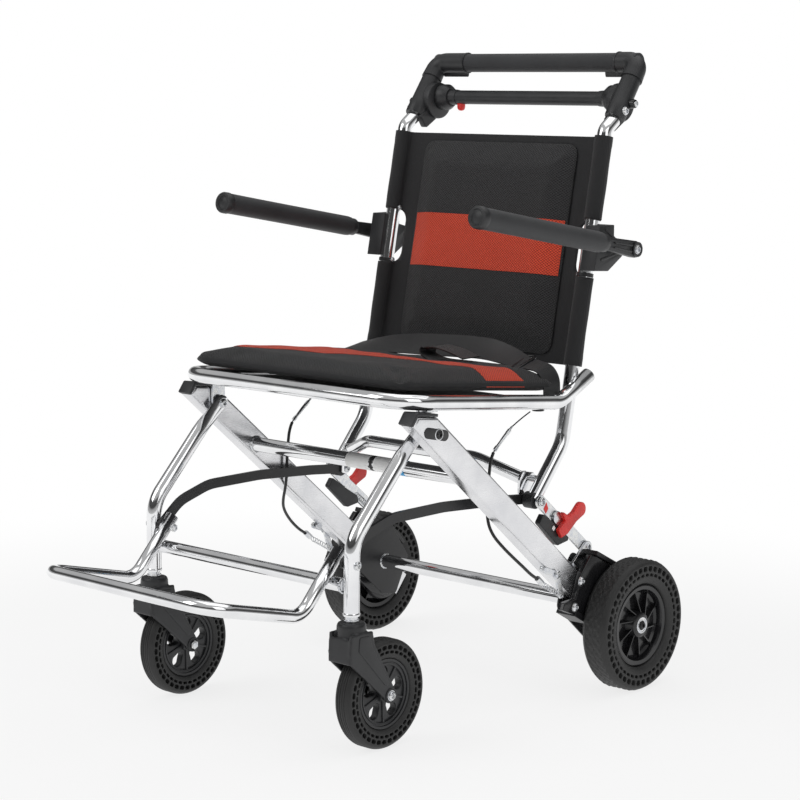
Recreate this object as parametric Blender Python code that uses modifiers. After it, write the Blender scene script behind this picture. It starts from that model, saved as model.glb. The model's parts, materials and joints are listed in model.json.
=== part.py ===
"""A folding transport wheelchair of polished aluminium tube, in metres.

X runs across the chair (+X is the occupant's left), Y runs backwards and Z runs up from the floor.
The side beams, the cross tubes between them and the rear axles stay still. The seat, the back,
the front legs with their casters, the stay bars and the lock links fold around them.
Every pair (y, z) below is a place in the side view.
"""

import math

import bmesh
import bpy
from mathutils import Matrix, Vector

# Clearances
TOUCH = 0.0003  # between pieces that rest on or are welded to each other
RUN = 0.0012  # between pieces that move past each other
BOLT_PLAY = 0.0004  # round a bolt in its hole

# Overall sizes
FRAME_HALF_WIDTH = 0.2362  # outer face of each side beam
POST_INSET = 0.0347  # from that face in to the back posts' centre lines
CASTER_INSET = 0.0347  # and to the front legs and casters
FOOT_INSET = 0.0662  # and to the footrest's sides
TUBE_RADIUS = 0.011
SEAT_PLAY = 0.0015  # between the back posts and the seat tube outside them
POST_X = FRAME_HALF_WIDTH - POST_INSET
SEAT_TUBE_X = POST_X + 2 * TUBE_RADIUS + SEAT_PLAY
REAR_WHEEL_RADIUS = 0.100
REAR_TYRE_WIDTH = 0.045
CASTER_RADIUS = 0.077
CASTER_TYRE_WIDTH = 0.029
CASTER_X = FRAME_HALF_WIDTH - CASTER_INSET

# Side beams
BEAM_WIDTH = 0.0255
BEAM_DEPTH = 0.0385
BEAM_EDGE = 0.004
BEAM_TOP_FRONT = Vector((-0.127, 0.4549))  # where the upper edge meets the sloping cut of the front end
BEAM_TOP_REAR = Vector((0.3005, 0.0976))  # its upper rear corner
BEAM_NOSE = Vector((-0.1667, 0.4592))
CAP_THICKNESS = 0.0040
LUG_THICKNESS = 0.005
LUG_HALF_LENGTH = 0.016
LUG_RADIUS = 0.0095
CAP_EDGE = 0.0008

# Pivots
FRONT_PIVOT = Vector((-0.126, 0.431))
BACK_PIVOT = Vector((0.2065, 0.471))
LINK_TOP = Vector((0.122, 0.3015))
LINK_LOW = Vector((0.2225, 0.219))
FOOT_PIVOT = Vector((-0.260, 0.265))
REAR_AXLE = Vector((0.279, REAR_WHEEL_RADIUS))
CASTER_STEM_Y = -0.261
CASTER_AXLE = Vector((-0.205, CASTER_RADIUS))
ARMREST_PIVOT = Vector((0.284, 0.6645))
BRAKE_BAR_PIVOT = Vector((0.337, 0.879))
BRAKE_ARM_PIVOT = Vector((0.1335, 0.1945))

# Cross tubes between the beams and between the legs
UPPER_CROSS = Vector((-0.045, 0.3575))
REAR_CROSS = Vector((0.2448, 0.1294))
LEG_CROSS = Vector((-0.263, 0.2355))
LEG_CROSS_RADIUS = 0.0095

# Front legs and casters
LEG_BOTTOM_Z = 0.195
LEG_BEND = (Vector((-0.260, 0.297)), Vector((-0.163, 0.400)))
LEG_BEND_RADIUS = 0.055
LEG_TOP_THICKNESS = 0.008
LEG_TOP_RADIUS = 0.012
PIVOT_BOLT_RADIUS = 0.004
PIVOT_HEAD_RADIUS = 0.0085
PIVOT_HEAD_HEIGHT = 0.0012
FORK_TOP_Z = 0.187
FORK_CROWN_Z = 0.152
FORK_CROWN_RADIUS = 0.0204
FORK_ARM = 0.005
FORK_BOSS_RADIUS = 0.011
STEM_RADIUS = 0.008
CASTER_SIDE_PLAY = 0.002
CASTER_BORE = 0.0045
CASTER_HUB_RADIUS = 0.049
CASTER_HUB_WIDTH = 0.021
CASTER_WINDOWS = 5

# Rear wheels and brakes
REAR_HUB_RADIUS = 0.062
REAR_HUB_WIDTH = 0.034
REAR_AXLE_RADIUS = 0.006
REAR_BEARING_RADIUS = 0.011
BRAKE_UNIT_WIDTH = 0.0105
REAR_WHEEL_GAP = 0.0015
BRAKE_ARM_WIDTH = 0.0035

# Footrest and stay bars
FOOT_X = FRAME_HALF_WIDTH - FOOT_INSET
FOOT_RADIUS = 0.0095
FOOT_TOP = Vector((-0.252, 0.280))
FOOT_BEND = Vector((-0.326, 0.199))
FOOT_FRONT = Vector((-0.492, 0.2385))
FOOT_CORNER = 0.040
FOOT_BEND_RADIUS = 0.034
STAY_WIDTH = 0.0145
STAY_THICKNESS = 0.005
STAY_ROUTE = (
    FOOT_PIVOT,
    Vector((-0.222, 0.2965)),
    Vector((-0.165, 0.3135)),
    Vector((-0.060, 0.3145)),
    Vector((0.050, 0.3080)),
    LINK_TOP,
)
STAY_BEND_RADIUS = (0.0, 0.06, 0.09, 0.3, 0.3, 0.0)

# Seat
SEAT_FRONT = Vector((-0.188, 0.480))
SEAT_REAR = Vector((0.150, 0.4465))
SEAT_END = Vector((0.219, 0.480))
SEAT_CORNER = 0.058
SEAT_PLATE = 0.004
HANGER_RADIUS = 0.0125
HANGER_DROP = 0.0038  # how far below the seat tube's centre line the hanger's top lies
SLING_THICKNESS = 0.004
CUSHION_THICKNESS = 0.029
CUSHION_INSET = 0.006
CUSHION_HALF_WIDTH = SEAT_TUBE_X - CUSHION_INSET
CUSHION_REAR_Y = 0.172
CUSHION_FRONT = 0.002  # from the seat tube's front centre line back to the cushion's front
CUSHION_CORNER = 0.050
CUSHION_EDGE = 0.009
BELT_CORNER = 0.004
BELT_WIDTH = 0.038
BELT_THICKNESS = 0.006
BELT_Y = 0.120
BELT_SLACK = 0.0022  # how far the slack belt stays above the cushion

# Back posts, upholstery and handle
POST_ROUTE = (
    LINK_TOP,
    Vector((0.188, 0.378)),
    Vector((0.2793, 0.8382)),
    Vector((0.2995, 0.853)),
)
POST_BEND_RADIUS = (0.0, 0.060, 0.018, 0.0)
BACK_CROSS_END = Vector((0.1275, 0.3305))
BACK_CROSS_MIDDLE = Vector((0.099, 0.357))
BACK_CROSS_INSET = 0.0915
BACK_CROSS_BEND_X = POST_X - BACK_CROSS_INSET
BACK_CROSS_RADIUS = 0.0095
BACK_CROSS_BEND_RADIUS = 0.040
GUSSET_THICKNESS = 0.004
GUSSET_BOSS_REACH = 0.036
GUSSET_BOSS_RADIUS = 0.005
BACK_LOW_Z = 0.492
BACK_HIGH_Z = 0.8300
BACK_SLEEVE_RADIUS = 0.0145
NOTCH_LOW_Z = 0.622
NOTCH_HIGH_Z = 0.708
NOTCH_DEPTH = 0.025
NOTCH_CORNER = 0.022
CUTTER_REACH = 0.05  # how far a bore's cutter goes past the ends
HEM = 0.0015  # how far the sling stops short of its sleeves' ends
SLING_BEHIND = 0.0067  # how far the sling's middle lies behind the posts' centre line
PAD_INSET = 0.0445  # from the posts' centre lines in to the pad's sides
PAD_HALF_WIDTH = POST_X - PAD_INSET
PAD_THICKNESS = 0.016
PAD_MARGIN = 0.010
PAD_CORNER = 0.022
PAD_EDGE = 0.005
SLEEVE_RADIUS = 0.0155
SLEEVE_GAP = 0.0045  # the post's end is cut square, and the sleeve leans back from it
HANDLE_CORNER = Vector((0.360, 0.939))
HANDLE_RADIUS = 0.0145
ELBOW_RADIUS = 0.0158
ELBOW_REACH = 0.034
HANDLE_BEND_RADIUS = 0.020
ELBOW_START = 0.030  # how far below the corner the handle's elbow begins
HUB_DISC_RADIUS = 0.029
HUB_DISC_WIDTH = 0.012
BRAKE_BAR_CENTRE = Vector((0.342, 0.8845))
BRAKE_BAR_RADIUS = 0.011
CHEEK_RADIUS = 0.020
CHEEK_WIDTH = 0.007
BUTTON_INSET = 0.0645
BUTTON_X = BUTTON_INSET - POST_X
BUTTON_RADIUS = 0.0065
BUTTON_LENGTH = 0.0075
BUTTON_SEAT = 0.001  # how far the button sits in its pocket at rest
BUTTON_TRAVEL = 0.0035

# Armrests
ARMREST_REACH = 0.0525  # from the posts' centre lines out to the foam grips
ARMREST_X = POST_X + ARMREST_REACH
ARMREST_FRONT = Vector((-0.072, 0.7265))
FOAM_REAR = Vector((0.204, 0.6785))
FOAM_RADIUS = 0.0155
ARMREST_TUBE_RADIUS = 0.0085
BRACKET_LOW_Z = 0.634
BRACKET_HIGH_Z = 0.700
BRACKET_WALL = 0.006
BRACKET_OFFSET = 0.0015
BRACKET_WIDTH = 0.028
BRACKET_INNER_X = POST_X + BRACKET_OFFSET
BRACKET_OUTER_X = BRACKET_INNER_X + BRACKET_WIDTH
ARMREST_ARM = 0.013
ARMREST_PIN_RADIUS = 0.004

# Lock links
LINK_THICKNESS = 0.004
LINK_WIDTH = 0.019
LINK_KNEE_SHARE = 0.34
LEVER_THICKNESS = 0.006
LEVER_TIP = Vector((0.2049, 0.280))
LEVER_PIVOT = Vector((0.1620, 0.2560))

# Brake cables
CABLE_RADIUS = 0.0024
CABLE_STEPS = 1
CABLE_ROUTE = (
    (0.2050, 0.1085, 0.4345),
    (0.2050, 0.0845, 0.4247),
    (0.2050, 0.0578, 0.4115),
    (0.2050, 0.0415, 0.3986),
    (0.2050, 0.0274, 0.3841),
    (0.2050, 0.0210, 0.3700),
    (0.2050, 0.0185, 0.3550),
    (0.2050, 0.0165, 0.3350),
    (0.2050, 0.0150, 0.3150),
    (0.2055, 0.0145, 0.2960),
    (0.2090, 0.0150, 0.2790),
    (0.2160, 0.0185, 0.2640),
    (0.2250, 0.0270, 0.2490),
    (0.2320, 0.0400, 0.2340),
    (0.2370, 0.0570, 0.2180),
    (0.2385, 0.0740, 0.2040),
    (0.2390, 0.0905, 0.1935),
)

COLLECTION = "transport_wheelchair"
RING = 3  # bevel resolution that gives a tube ten sides
SIDES = (("left", 1), ("right", -1))

BEAM_X = FRAME_HALF_WIDTH - BEAM_WIDTH / 2
BEAM_INNER = FRAME_HALF_WIDTH - BEAM_WIDTH
PLATE_X = BEAM_INNER - RUN - SEAT_PLATE / 2
LEG_TOP_X = PLATE_X - SEAT_PLATE / 2 - RUN / 2 - LEG_TOP_THICKNESS / 2
STAY_X = CASTER_X - TUBE_RADIUS - RUN - STAY_THICKNESS / 2
GUSSET_X = STAY_X - STAY_THICKNESS / 2 - RUN - GUSSET_THICKNESS / 2
LINK_UPPER_X = POST_X + TUBE_RADIUS + RUN / 2 + LINK_THICKNESS / 2
LINK_LOWER_X = LINK_UPPER_X + LINK_THICKNESS + RUN / 2
LUG_X = LINK_LOWER_X + LINK_THICKNESS / 2 + RUN / 2 + LUG_THICKNESS / 2
LEVER_X = LINK_LOWER_X + LINK_THICKNESS / 2 + RUN / 2 + LEVER_THICKNESS / 2
REAR_WHEEL_X = FRAME_HALF_WIDTH + TOUCH + BRAKE_UNIT_WIDTH + REAR_WHEEL_GAP + REAR_TYRE_WIDTH / 2
HUB_DISC_X = POST_X - SLEEVE_RADIUS - HUB_DISC_WIDTH / 2 + 0.004
BACK_SLOPE = (POST_ROUTE[2] - POST_ROUTE[1]).normalized()


def clear_scene():
    for obj in list(bpy.data.objects):
        bpy.data.objects.remove(obj, do_unlink=True)


def new_collection(name):
    collection = bpy.data.collections.new(name)
    bpy.context.scene.collection.children.link(collection)
    return collection


def finish_material(name, colour, roughness, metallic):
    made = bpy.data.materials.new(name)
    made.use_nodes = True
    shader = made.node_tree.nodes["Principled BSDF"]
    shader.inputs["Base Color"].default_value = (*colour, 1.0)
    shader.inputs["Roughness"].default_value = roughness
    shader.inputs["Metallic"].default_value = metallic
    return made


clear_scene()
PARTS = new_collection(COLLECTION)
POLISHED = finish_material("polished_aluminium", (0.82, 0.83, 0.84), 0.12, 1.0)
BRUSHED = finish_material("brushed_aluminium", (0.66, 0.66, 0.67), 0.35, 1.0)
STEEL = finish_material("zinc_steel", (0.62, 0.63, 0.65), 0.28, 1.0)
PLASTIC = finish_material("black_plastic", (0.022, 0.022, 0.024), 0.45, 0.0)
RUBBER = finish_material("black_rubber", (0.018, 0.018, 0.018), 0.7, 0.0)
FOAM = finish_material("black_foam", (0.020, 0.020, 0.021), 0.85, 0.0)
FABRIC = finish_material("black_fabric", (0.014, 0.014, 0.015), 0.9, 0.0)
MESH_FABRIC = finish_material("mesh_fabric", (0.016, 0.016, 0.017), 0.95, 0.0)
RED = finish_material("red_plastic", (0.72, 0.035, 0.03), 0.4, 0.0)
COATED = finish_material("black_coated_steel", (0.02, 0.02, 0.021), 0.5, 0.2)


def side_view(x, spot):
    return Vector((x, spot[0], spot[1]))


def unit(angle):
    return Vector((math.cos(angle), math.sin(angle)))


def across(direction):
    """The side-view direction a quarter turn anticlockwise of this one."""
    return Vector((-direction[1], direction[0]))


def rounded_route(points, radii, steps=4):
    """The points with each inner corner replaced by an arc of its radius."""
    route = [Vector(points[0])]
    for before, corner, after, radius in zip(points, points[1:], points[2:], radii[1:]):
        before, corner, after = Vector(before), Vector(corner), Vector(after)
        to_start = (before - corner).normalized()
        to_end = (after - corner).normalized()
        half = to_start.angle(to_end) / 2
        if radius <= 0 or half > math.radians(89):
            route.append(corner)
            continue
        bisector = (to_start + to_end).normalized()
        centre = corner + bisector * radius / math.sin(half)
        reach = radius / math.tan(half)
        first = corner + to_start * reach - centre
        last = corner + to_end * reach - centre
        turn = first.angle(last)
        for step in range(steps + 1):
            share = step / steps
            weight = math.sin(turn)
            arm = first * (math.sin((1 - share) * turn) / weight)
            arm += last * (math.sin(share * turn) / weight)
            route.append(centre + arm)
    route.append(Vector(points[-1]))
    return route


def smooth_route(points, steps):
    """A Catmull-Rom curve through the points, with this many stretches between each two."""
    ends = [points[0] * 2 - points[1], *points, points[-1] * 2 - points[-2]]
    route = []
    for a, b, c, d in zip(ends, ends[1:], ends[2:], ends[3:]):
        for step in range(steps):
            t = step / steps
            bend = (a * 2 - b * 5 + c * 4 - d) * t**2 + (b * 3 - a - c * 3 + d) * t**3
            route.append((b * 2 + (c - a) * t + bend) / 2)
    return [*route, points[-1]]


def circle(centre, radius, steps=16):
    return [Vector(centre) + unit(2 * math.pi * n / steps) * radius for n in range(steps)]


def capsule(start, end, start_radius, end_radius=None, steps=7):
    """The outline of a flat link with a round end about each point."""
    end_radius = start_radius if end_radius is None else end_radius
    along = math.atan2(end[1] - start[1], end[0] - start[0])
    outline = []
    for centre, radius, turn in ((end, end_radius, along), (start, start_radius, along + math.pi)):
        for step in range(steps + 1):
            angle = turn - math.pi / 2 + math.pi * step / steps
            outline.append(Vector(centre) + unit(angle) * radius)
    return outline


def strip(route, width, steps=6):
    """The outline of a flat bar of this width along a route, with round ends."""
    left, right = [], []
    for n, spot in enumerate(route):
        ahead = (route[min(n + 1, len(route) - 1)] - route[max(n - 1, 0)]).normalized()
        left.append(spot + across(ahead) * width / 2)
        right.append(spot - across(ahead) * width / 2)
    ends = []
    for spot, ahead in ((route[-1], route[-1] - route[-2]), (route[0], route[0] - route[1])):
        turn = math.atan2(ahead[1], ahead[0])
        arc = [spot + unit(turn - math.pi / 2 + math.pi * n / steps) * width / 2 for n in range(steps + 1)]
        ends.append(arc[1:-1])
    return right + ends[0] + left[::-1] + ends[1]


def link_object(name, data, material):
    made = bpy.data.objects.new(name, data)
    PARTS.objects.link(made)
    data.materials.append(material)
    return made


def to_mesh(source):
    """Swaps a curve object for a closed mesh object of the same name, place and material."""
    bpy.context.view_layer.update()
    graph = bpy.context.evaluated_depsgraph_get()
    name, place = source.name, source.matrix_world.copy()
    material = source.data.materials[0]
    mesh = bpy.data.meshes.new_from_object(source.evaluated_get(graph))
    bpy.data.objects.remove(source)
    shape = bmesh.new()
    shape.from_mesh(mesh)
    bmesh.ops.remove_doubles(shape, verts=shape.verts, dist=1e-6)
    bmesh.ops.recalc_face_normals(shape, faces=shape.faces)
    shape.to_mesh(mesh)
    shape.free()
    mesh.materials.clear()
    made = link_object(name, mesh, material)
    made.matrix_world = place
    mesh.transform(place)
    made.matrix_world = Matrix.Identity(4)
    mesh.shade_smooth()
    mesh.set_sharp_from_angle(angle=math.radians(35))
    return made


def tube(name, route, radius, material, ring=RING):
    """A round bar or tube, capped at its ends, along a route of points."""
    curve = bpy.data.curves.new(name, "CURVE")
    curve.dimensions = "3D"
    curve.bevel_depth = radius
    curve.bevel_resolution = ring
    curve.use_fill_caps = True
    spline = curve.splines.new("POLY")
    spline.points.add(len(route) - 1)
    for point, spot in zip(spline.points, route):
        point.co = (*spot, 1.0)
    return to_mesh(link_object(name, curve, material))


def plate(name, outlines, x, thickness, material, edge=0.0):
    """A flat piece standing in the side view at x: the first outline less the others."""
    curve = bpy.data.curves.new(name, "CURVE")
    curve.dimensions = "2D"
    curve.fill_mode = "BOTH"
    curve.extrude = thickness / 2 - edge
    curve.bevel_depth = edge
    curve.bevel_resolution = 1
    curve.offset = -edge
    for outline in outlines:
        spline = curve.splines.new("POLY")
        spline.points.add(len(outline) - 1)
        for point, spot in zip(spline.points, outline):
            point.co = (spot[0], spot[1], 0.0, 1.0)
        spline.use_cyclic_u = True
    made = link_object(name, curve, material)
    made.rotation_euler = (math.pi / 2, 0.0, math.pi / 2)
    made.location = (x, 0.0, 0.0)
    return to_mesh(made)


def turned(name, profile, centre, material, steps=36, closed=False):
    """A shape turned about the X axis through centre. The profile is (radius, x) pairs, from +x to -x."""
    mesh = bpy.data.meshes.new(name)
    shape = bmesh.new()
    corners = [shape.verts.new((radius, 0.0, height)) for radius, height in profile]
    for first, second in zip(corners, corners[1:]):
        shape.edges.new((first, second))
    if closed:
        shape.edges.new((corners[-1], corners[0]))
    shape.to_mesh(mesh)
    shape.free()
    made = link_object(name, mesh, material)
    screw = made.modifiers.new("turn", "SCREW")
    screw.steps = screw.render_steps = steps
    screw.use_merge_vertices = True
    screw.merge_threshold = 1e-5
    screw.use_smooth_shade = True
    made.rotation_euler = (0.0, math.pi / 2, 0.0)
    made.location = centre
    return made


def rod(name, start, end, radius, material, ring=RING):
    return tube(name, [Vector(start), Vector(end)], radius, material, ring)


def join(keeper, *others):
    """Joins welded or moulded bodies into one closed body with Boolean unions."""
    for other in others:
        boolean = keeper.modifiers.new("join", "BOOLEAN")
        boolean.operation = "UNION"
        boolean.object = other
        apply_modifiers(keeper)
        bpy.data.objects.remove(other)
    return keeper


def cut(keeper, *cutters):
    for cutter in cutters:
        boolean = keeper.modifiers.new("cut", "BOOLEAN")
        boolean.operation = "DIFFERENCE"
        boolean.object = cutter
        apply_modifiers(keeper)
        bpy.data.objects.remove(cutter)
    return keeper


def apply_modifiers(obj):
    bpy.context.view_layer.update()
    graph = bpy.context.evaluated_depsgraph_get()
    mesh = bpy.data.meshes.new_from_object(obj.evaluated_get(graph))
    obj.modifiers.clear()
    obj.data = mesh


def block(name, low, high, material, edge=0.0):
    """A box between two corners, with its edges rounded if edge is given."""
    mesh = bpy.data.meshes.new(name)
    shape = bmesh.new()
    bmesh.ops.create_cube(shape, size=1.0)
    size = Vector(high) - Vector(low)
    centre = (Vector(high) + Vector(low)) / 2
    for corner in shape.verts:
        corner.co = Vector((corner.co.x * size.x, corner.co.y * size.y, corner.co.z * size.z)) + centre
    shape.to_mesh(mesh)
    shape.free()
    made = link_object(name, mesh, material)
    if edge:
        bevel = made.modifiers.new("edge", "BEVEL")
        bevel.width = edge
        bevel.segments = 2
        apply_modifiers(made)
    return made


def pivot(name, x, spot):
    """An empty on a joint's axis, which the moving pieces hang from."""
    made = bpy.data.objects.new(name, None)
    made.empty_display_size = 0.02
    made.location = side_view(x, spot)
    PARTS.objects.link(made)
    return made


def hang(parent, *pieces):
    """Parents pieces where they are, so that they turn about the parent's origin."""
    bpy.context.view_layer.update()
    for piece in pieces:
        place = piece.matrix_world.copy()
        piece.parent = parent
        piece.matrix_parent_inverse = parent.matrix_world.inverted()
        piece.matrix_world = place


# ---------------------------------------------------------------- fixed frame


def beam_outline():
    """The beam's corners, from its lower front one round under the beam and back over the top."""
    top = (BEAM_TOP_REAR - BEAM_TOP_FRONT).normalized()
    down = -across(top)
    front = BEAM_TOP_FRONT + (BEAM_NOSE - BEAM_TOP_FRONT).project(top)
    return [
        front + down * BEAM_DEPTH,
        BEAM_TOP_REAR + down * BEAM_DEPTH,
        BEAM_TOP_REAR,
        BEAM_TOP_FRONT,
        BEAM_NOSE,
    ]


def build_beam(side, sign):
    """A flat-sided beam, with the lug on its upper edge that carries the lower lock link."""
    outlines = [beam_outline(), circle(FRONT_PIVOT, PIVOT_BOLT_RADIUS + BOLT_PLAY)]
    beam = plate("side_beam_" + side, outlines, sign * BEAM_X, BEAM_WIDTH, BRUSHED, BEAM_EDGE)
    along = (BEAM_TOP_REAR - BEAM_TOP_FRONT).normalized()
    up = across(along)
    foot = BEAM_TOP_FRONT + (LINK_LOW - BEAM_TOP_FRONT).project(along) - up * BEAM_EDGE
    turn = math.degrees(math.atan2(up[1], up[0]))
    outline = [
        foot - along * LUG_HALF_LENGTH,
        foot + along * LUG_HALF_LENGTH,
        *[LINK_LOW + unit(math.radians(turn + a)) * LUG_RADIUS for a in range(-80, 81, 20)],
    ]
    return join(beam, plate("lug", [outline], sign * LUG_X, LUG_THICKNESS, BRUSHED))


def build_beam_cap(side, sign):
    """The plastic end cap, which folds over the beam's nose onto its sloping cut."""
    low, top, nose = beam_outline()[0], BEAM_TOP_FRONT, BEAM_NOSE
    up = across((top - nose).normalized())
    ahead = across((nose - low).normalized())
    gap = TOUCH * 2
    outside = gap + CAP_THICKNESS
    shape = [
        top + up * gap,
        nose + (up + ahead) * gap,
        low + ahead * gap,
        low + ahead * outside,
        nose + ahead * outside + up * CAP_THICKNESS / 2,
        nose + up * outside + ahead * CAP_THICKNESS / 2,
        top + up * outside,
    ]
    return plate("beam_cap_" + side, [shape], sign * BEAM_X, BEAM_WIDTH, PLASTIC, CAP_EDGE)


def build_cross_tube(name, spot, radius, half_width):
    start = side_view(-half_width + TOUCH, spot)
    end = side_view(half_width - TOUCH, spot)
    return rod(name, start, end, radius, POLISHED)


def build_front_bolt(side, sign):
    """The bolt through the beam, the seat plate and the flattened leg top, with a head and a nut."""
    outer = FRAME_HALF_WIDTH + TOUCH
    inner = LEG_TOP_X - LEG_TOP_THICKNESS / 2 - RUN
    profile = [
        (0.0, outer + PIVOT_HEAD_HEIGHT),
        (PIVOT_HEAD_RADIUS, outer + PIVOT_HEAD_HEIGHT),
        (PIVOT_HEAD_RADIUS, outer),
        (PIVOT_BOLT_RADIUS, outer),
        (PIVOT_BOLT_RADIUS, inner),
        (PIVOT_HEAD_RADIUS - 0.0015, inner),
        (PIVOT_HEAD_RADIUS - 0.0015, inner - 0.0055),
        (0.0, inner - 0.0055),
    ]
    return turned_pair("front_pivot_bolt_" + side, profile, sign, FRONT_PIVOT, STEEL, 14)


def turned_pair(name, profile, sign, spot, material, steps=36, closed=False):
    """A turned piece on the left side, or its mirror image on the right. Profile x is a world x."""
    if sign < 0:
        profile = [(radius, -x) for radius, x in reversed(profile)]
    return turned(name, profile, side_view(0.0, spot), material, steps, closed)


def build_brake_unit(side, sign):
    """The housing plate of the wheel brake, fixed round the beam's lower end."""
    outline = [
        (0.2060, 0.2130),
        (0.2320, 0.2060),
        (0.2860, 0.1660),
        (0.3140, 0.1340),
        (0.3200, 0.1000),
        (0.3050, 0.0720),
        (0.2740, 0.0600),
        (0.2400, 0.0740),
        (0.1950, 0.1130),
        (0.1660, 0.1290),
        (0.1390, 0.1400),
        (0.1440, 0.1500),
        (0.1700, 0.1520),
        (0.1830, 0.1880),
    ]
    x = FRAME_HALF_WIDTH + TOUCH + BRAKE_UNIT_WIDTH / 2
    hole = circle(REAR_AXLE, REAR_AXLE_RADIUS + BOLT_PLAY)
    return plate("brake_unit_" + side, [outline, hole], sign * x, BRAKE_UNIT_WIDTH, PLASTIC, 0.0015)


def build_rear_axle(side, sign):
    start = FRAME_HALF_WIDTH + TOUCH
    hub_face = REAR_WHEEL_X + REAR_HUB_WIDTH / 2
    profile = [
        (0.0, hub_face + 0.0075),
        (REAR_BEARING_RADIUS - 0.002, hub_face + 0.0075),
        (REAR_BEARING_RADIUS, hub_face + 0.0055),
        (REAR_BEARING_RADIUS, hub_face + TOUCH),
        (REAR_AXLE_RADIUS, hub_face + TOUCH),
        (REAR_AXLE_RADIUS, start),
        (0.0, start),
    ]
    return turned_pair("rear_axle_" + side, profile, sign, REAR_AXLE, STEEL, 18)


def build_brake_arm(side, sign):
    """The bent steel lever that the cable pulls, under the beam."""
    x = FRAME_HALF_WIDTH + TOUCH + BRAKE_ARM_WIDTH / 2
    top = BRAKE_ARM_PIVOT + Vector((-0.026, 0.010))
    low = BRAKE_ARM_PIVOT + Vector((0.012, -0.034))
    outline = strip([top, BRAKE_ARM_PIVOT, low], 0.010)
    return plate("brake_arm_" + side, [outline], sign * x, BRAKE_ARM_WIDTH, STEEL)


# ------------------------------------------------------------------- wheels


def tyre_profile(centre, radius, inner, width, shoulder):
    """The closed section of a solid tyre, from its outer flank round the tread to its bore."""
    half = width / 2
    return [
        (inner, centre + half * 0.72),
        (radius - shoulder * 1.6, centre + half),
        (radius - shoulder * 0.55, centre + half * 0.92),
        (radius, centre + half * 0.55),
        (radius, centre - half * 0.55),
        (radius - shoulder * 0.55, centre - half * 0.92),
        (radius - shoulder * 1.6, centre - half),
        (inner, centre - half * 0.72),
    ]


def build_rear_wheel(side, sign):
    section = tyre_profile(REAR_WHEEL_X, REAR_WHEEL_RADIUS, REAR_HUB_RADIUS + TOUCH, REAR_TYRE_WIDTH, 0.012)
    tyre = turned_pair("rear_tyre_" + side, section, sign, REAR_AXLE, RUBBER, 32, closed=True)
    half = REAR_HUB_WIDTH / 2
    bore = REAR_AXLE_RADIUS + BOLT_PLAY
    section = [
        (bore, REAR_WHEEL_X + half),
        (0.021, REAR_WHEEL_X + half),
        (0.024, REAR_WHEEL_X + half * 0.45),
        (REAR_HUB_RADIUS - 0.012, REAR_WHEEL_X + half * 0.45),
        (REAR_HUB_RADIUS - 0.006, REAR_WHEEL_X + half * 0.9),
        (REAR_HUB_RADIUS, REAR_WHEEL_X + half * 0.9),
        (REAR_HUB_RADIUS, REAR_WHEEL_X - half * 0.9),
        (REAR_HUB_RADIUS - 0.006, REAR_WHEEL_X - half * 0.9),
        (0.024, REAR_WHEEL_X - half * 0.45),
        (0.021, REAR_WHEEL_X - half),
        (bore, REAR_WHEEL_X - half),
    ]
    hub = turned_pair("rear_hub_" + side, section, sign, REAR_AXLE, PLASTIC, 24, closed=True)
    return tyre, hub


def build_caster_wheel(side, sign):
    section = tyre_profile(CASTER_X, CASTER_RADIUS, CASTER_HUB_RADIUS + TOUCH, CASTER_TYRE_WIDTH, 0.010)
    tyre = turned_pair("caster_tyre_" + side, section, sign, CASTER_AXLE, RUBBER, 28, closed=True)
    outlines = [
        circle(CASTER_AXLE, CASTER_HUB_RADIUS, 28),
        circle(CASTER_AXLE, CASTER_BORE, 12),
    ]
    for n in range(CASTER_WINDOWS):
        turn = 2 * math.pi * n / CASTER_WINDOWS + math.pi / 2
        middle = CASTER_AXLE + unit(turn) * 0.0275
        outlines.append(window_outline(middle, turn))
    hub = plate("caster_hub_" + side, outlines, sign * CASTER_X, CASTER_HUB_WIDTH, PLASTIC)
    return tyre, hub


def window_outline(middle, turn):
    """A rounded opening in the caster's hub, wider towards the rim."""
    inner = middle - unit(turn) * 0.005
    outer = middle + unit(turn) * 0.003
    return capsule(inner, outer, 0.0060, 0.0088, 4)


def build_caster_fork(side, sign):
    """A moulded fork: a fat crown on a steel stem, and an arm down each side of the wheel."""
    x = sign * CASTER_X
    crown_profile = [
        (0.0, LEG_BOTTOM_Z - TOUCH * 2),
        (STEM_RADIUS, LEG_BOTTOM_Z - TOUCH * 2),
        (STEM_RADIUS, FORK_TOP_Z),
        (FORK_CROWN_RADIUS - 0.003, FORK_TOP_Z),
        (FORK_CROWN_RADIUS, FORK_TOP_Z - 0.003),
        (FORK_CROWN_RADIUS, FORK_CROWN_Z),
        (0.0, FORK_CROWN_Z),
    ]
    crown = turned("caster_fork_" + side, crown_profile, Vector((x, CASTER_STEM_Y, 0.0)), PLASTIC, 16)
    crown.rotation_euler = (0.0, 0.0, 0.0)
    apply_modifiers(crown)
    crown.data.transform(Matrix.Translation(crown.location))
    crown.location = (0.0, 0.0, 0.0)
    reach = CASTER_TYRE_WIDTH / 2 + CASTER_SIDE_PLAY + FORK_ARM / 2
    crown_side = Vector((CASTER_STEM_Y, FORK_CROWN_Z))
    outline = [
        crown_side + Vector((-0.0200, 0.0260)),
        crown_side + Vector((0.0200, 0.0260)),
        crown_side + Vector((0.0230, 0.0060)),
        *[CASTER_AXLE + unit(math.radians(a)) * FORK_BOSS_RADIUS for a in range(35, -171, -30)],
        crown_side + Vector((-0.0215, -0.0180)),
        crown_side + Vector((-0.0230, -0.0040)),
    ]
    arms = []
    for end in (1, -1):
        hole = circle(CASTER_AXLE, 0.004 + BOLT_PLAY, 12)
        arms.append(plate("arm", [outline, hole], x + end * reach, FORK_ARM, PLASTIC))
    return join(crown, *arms)


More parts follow.
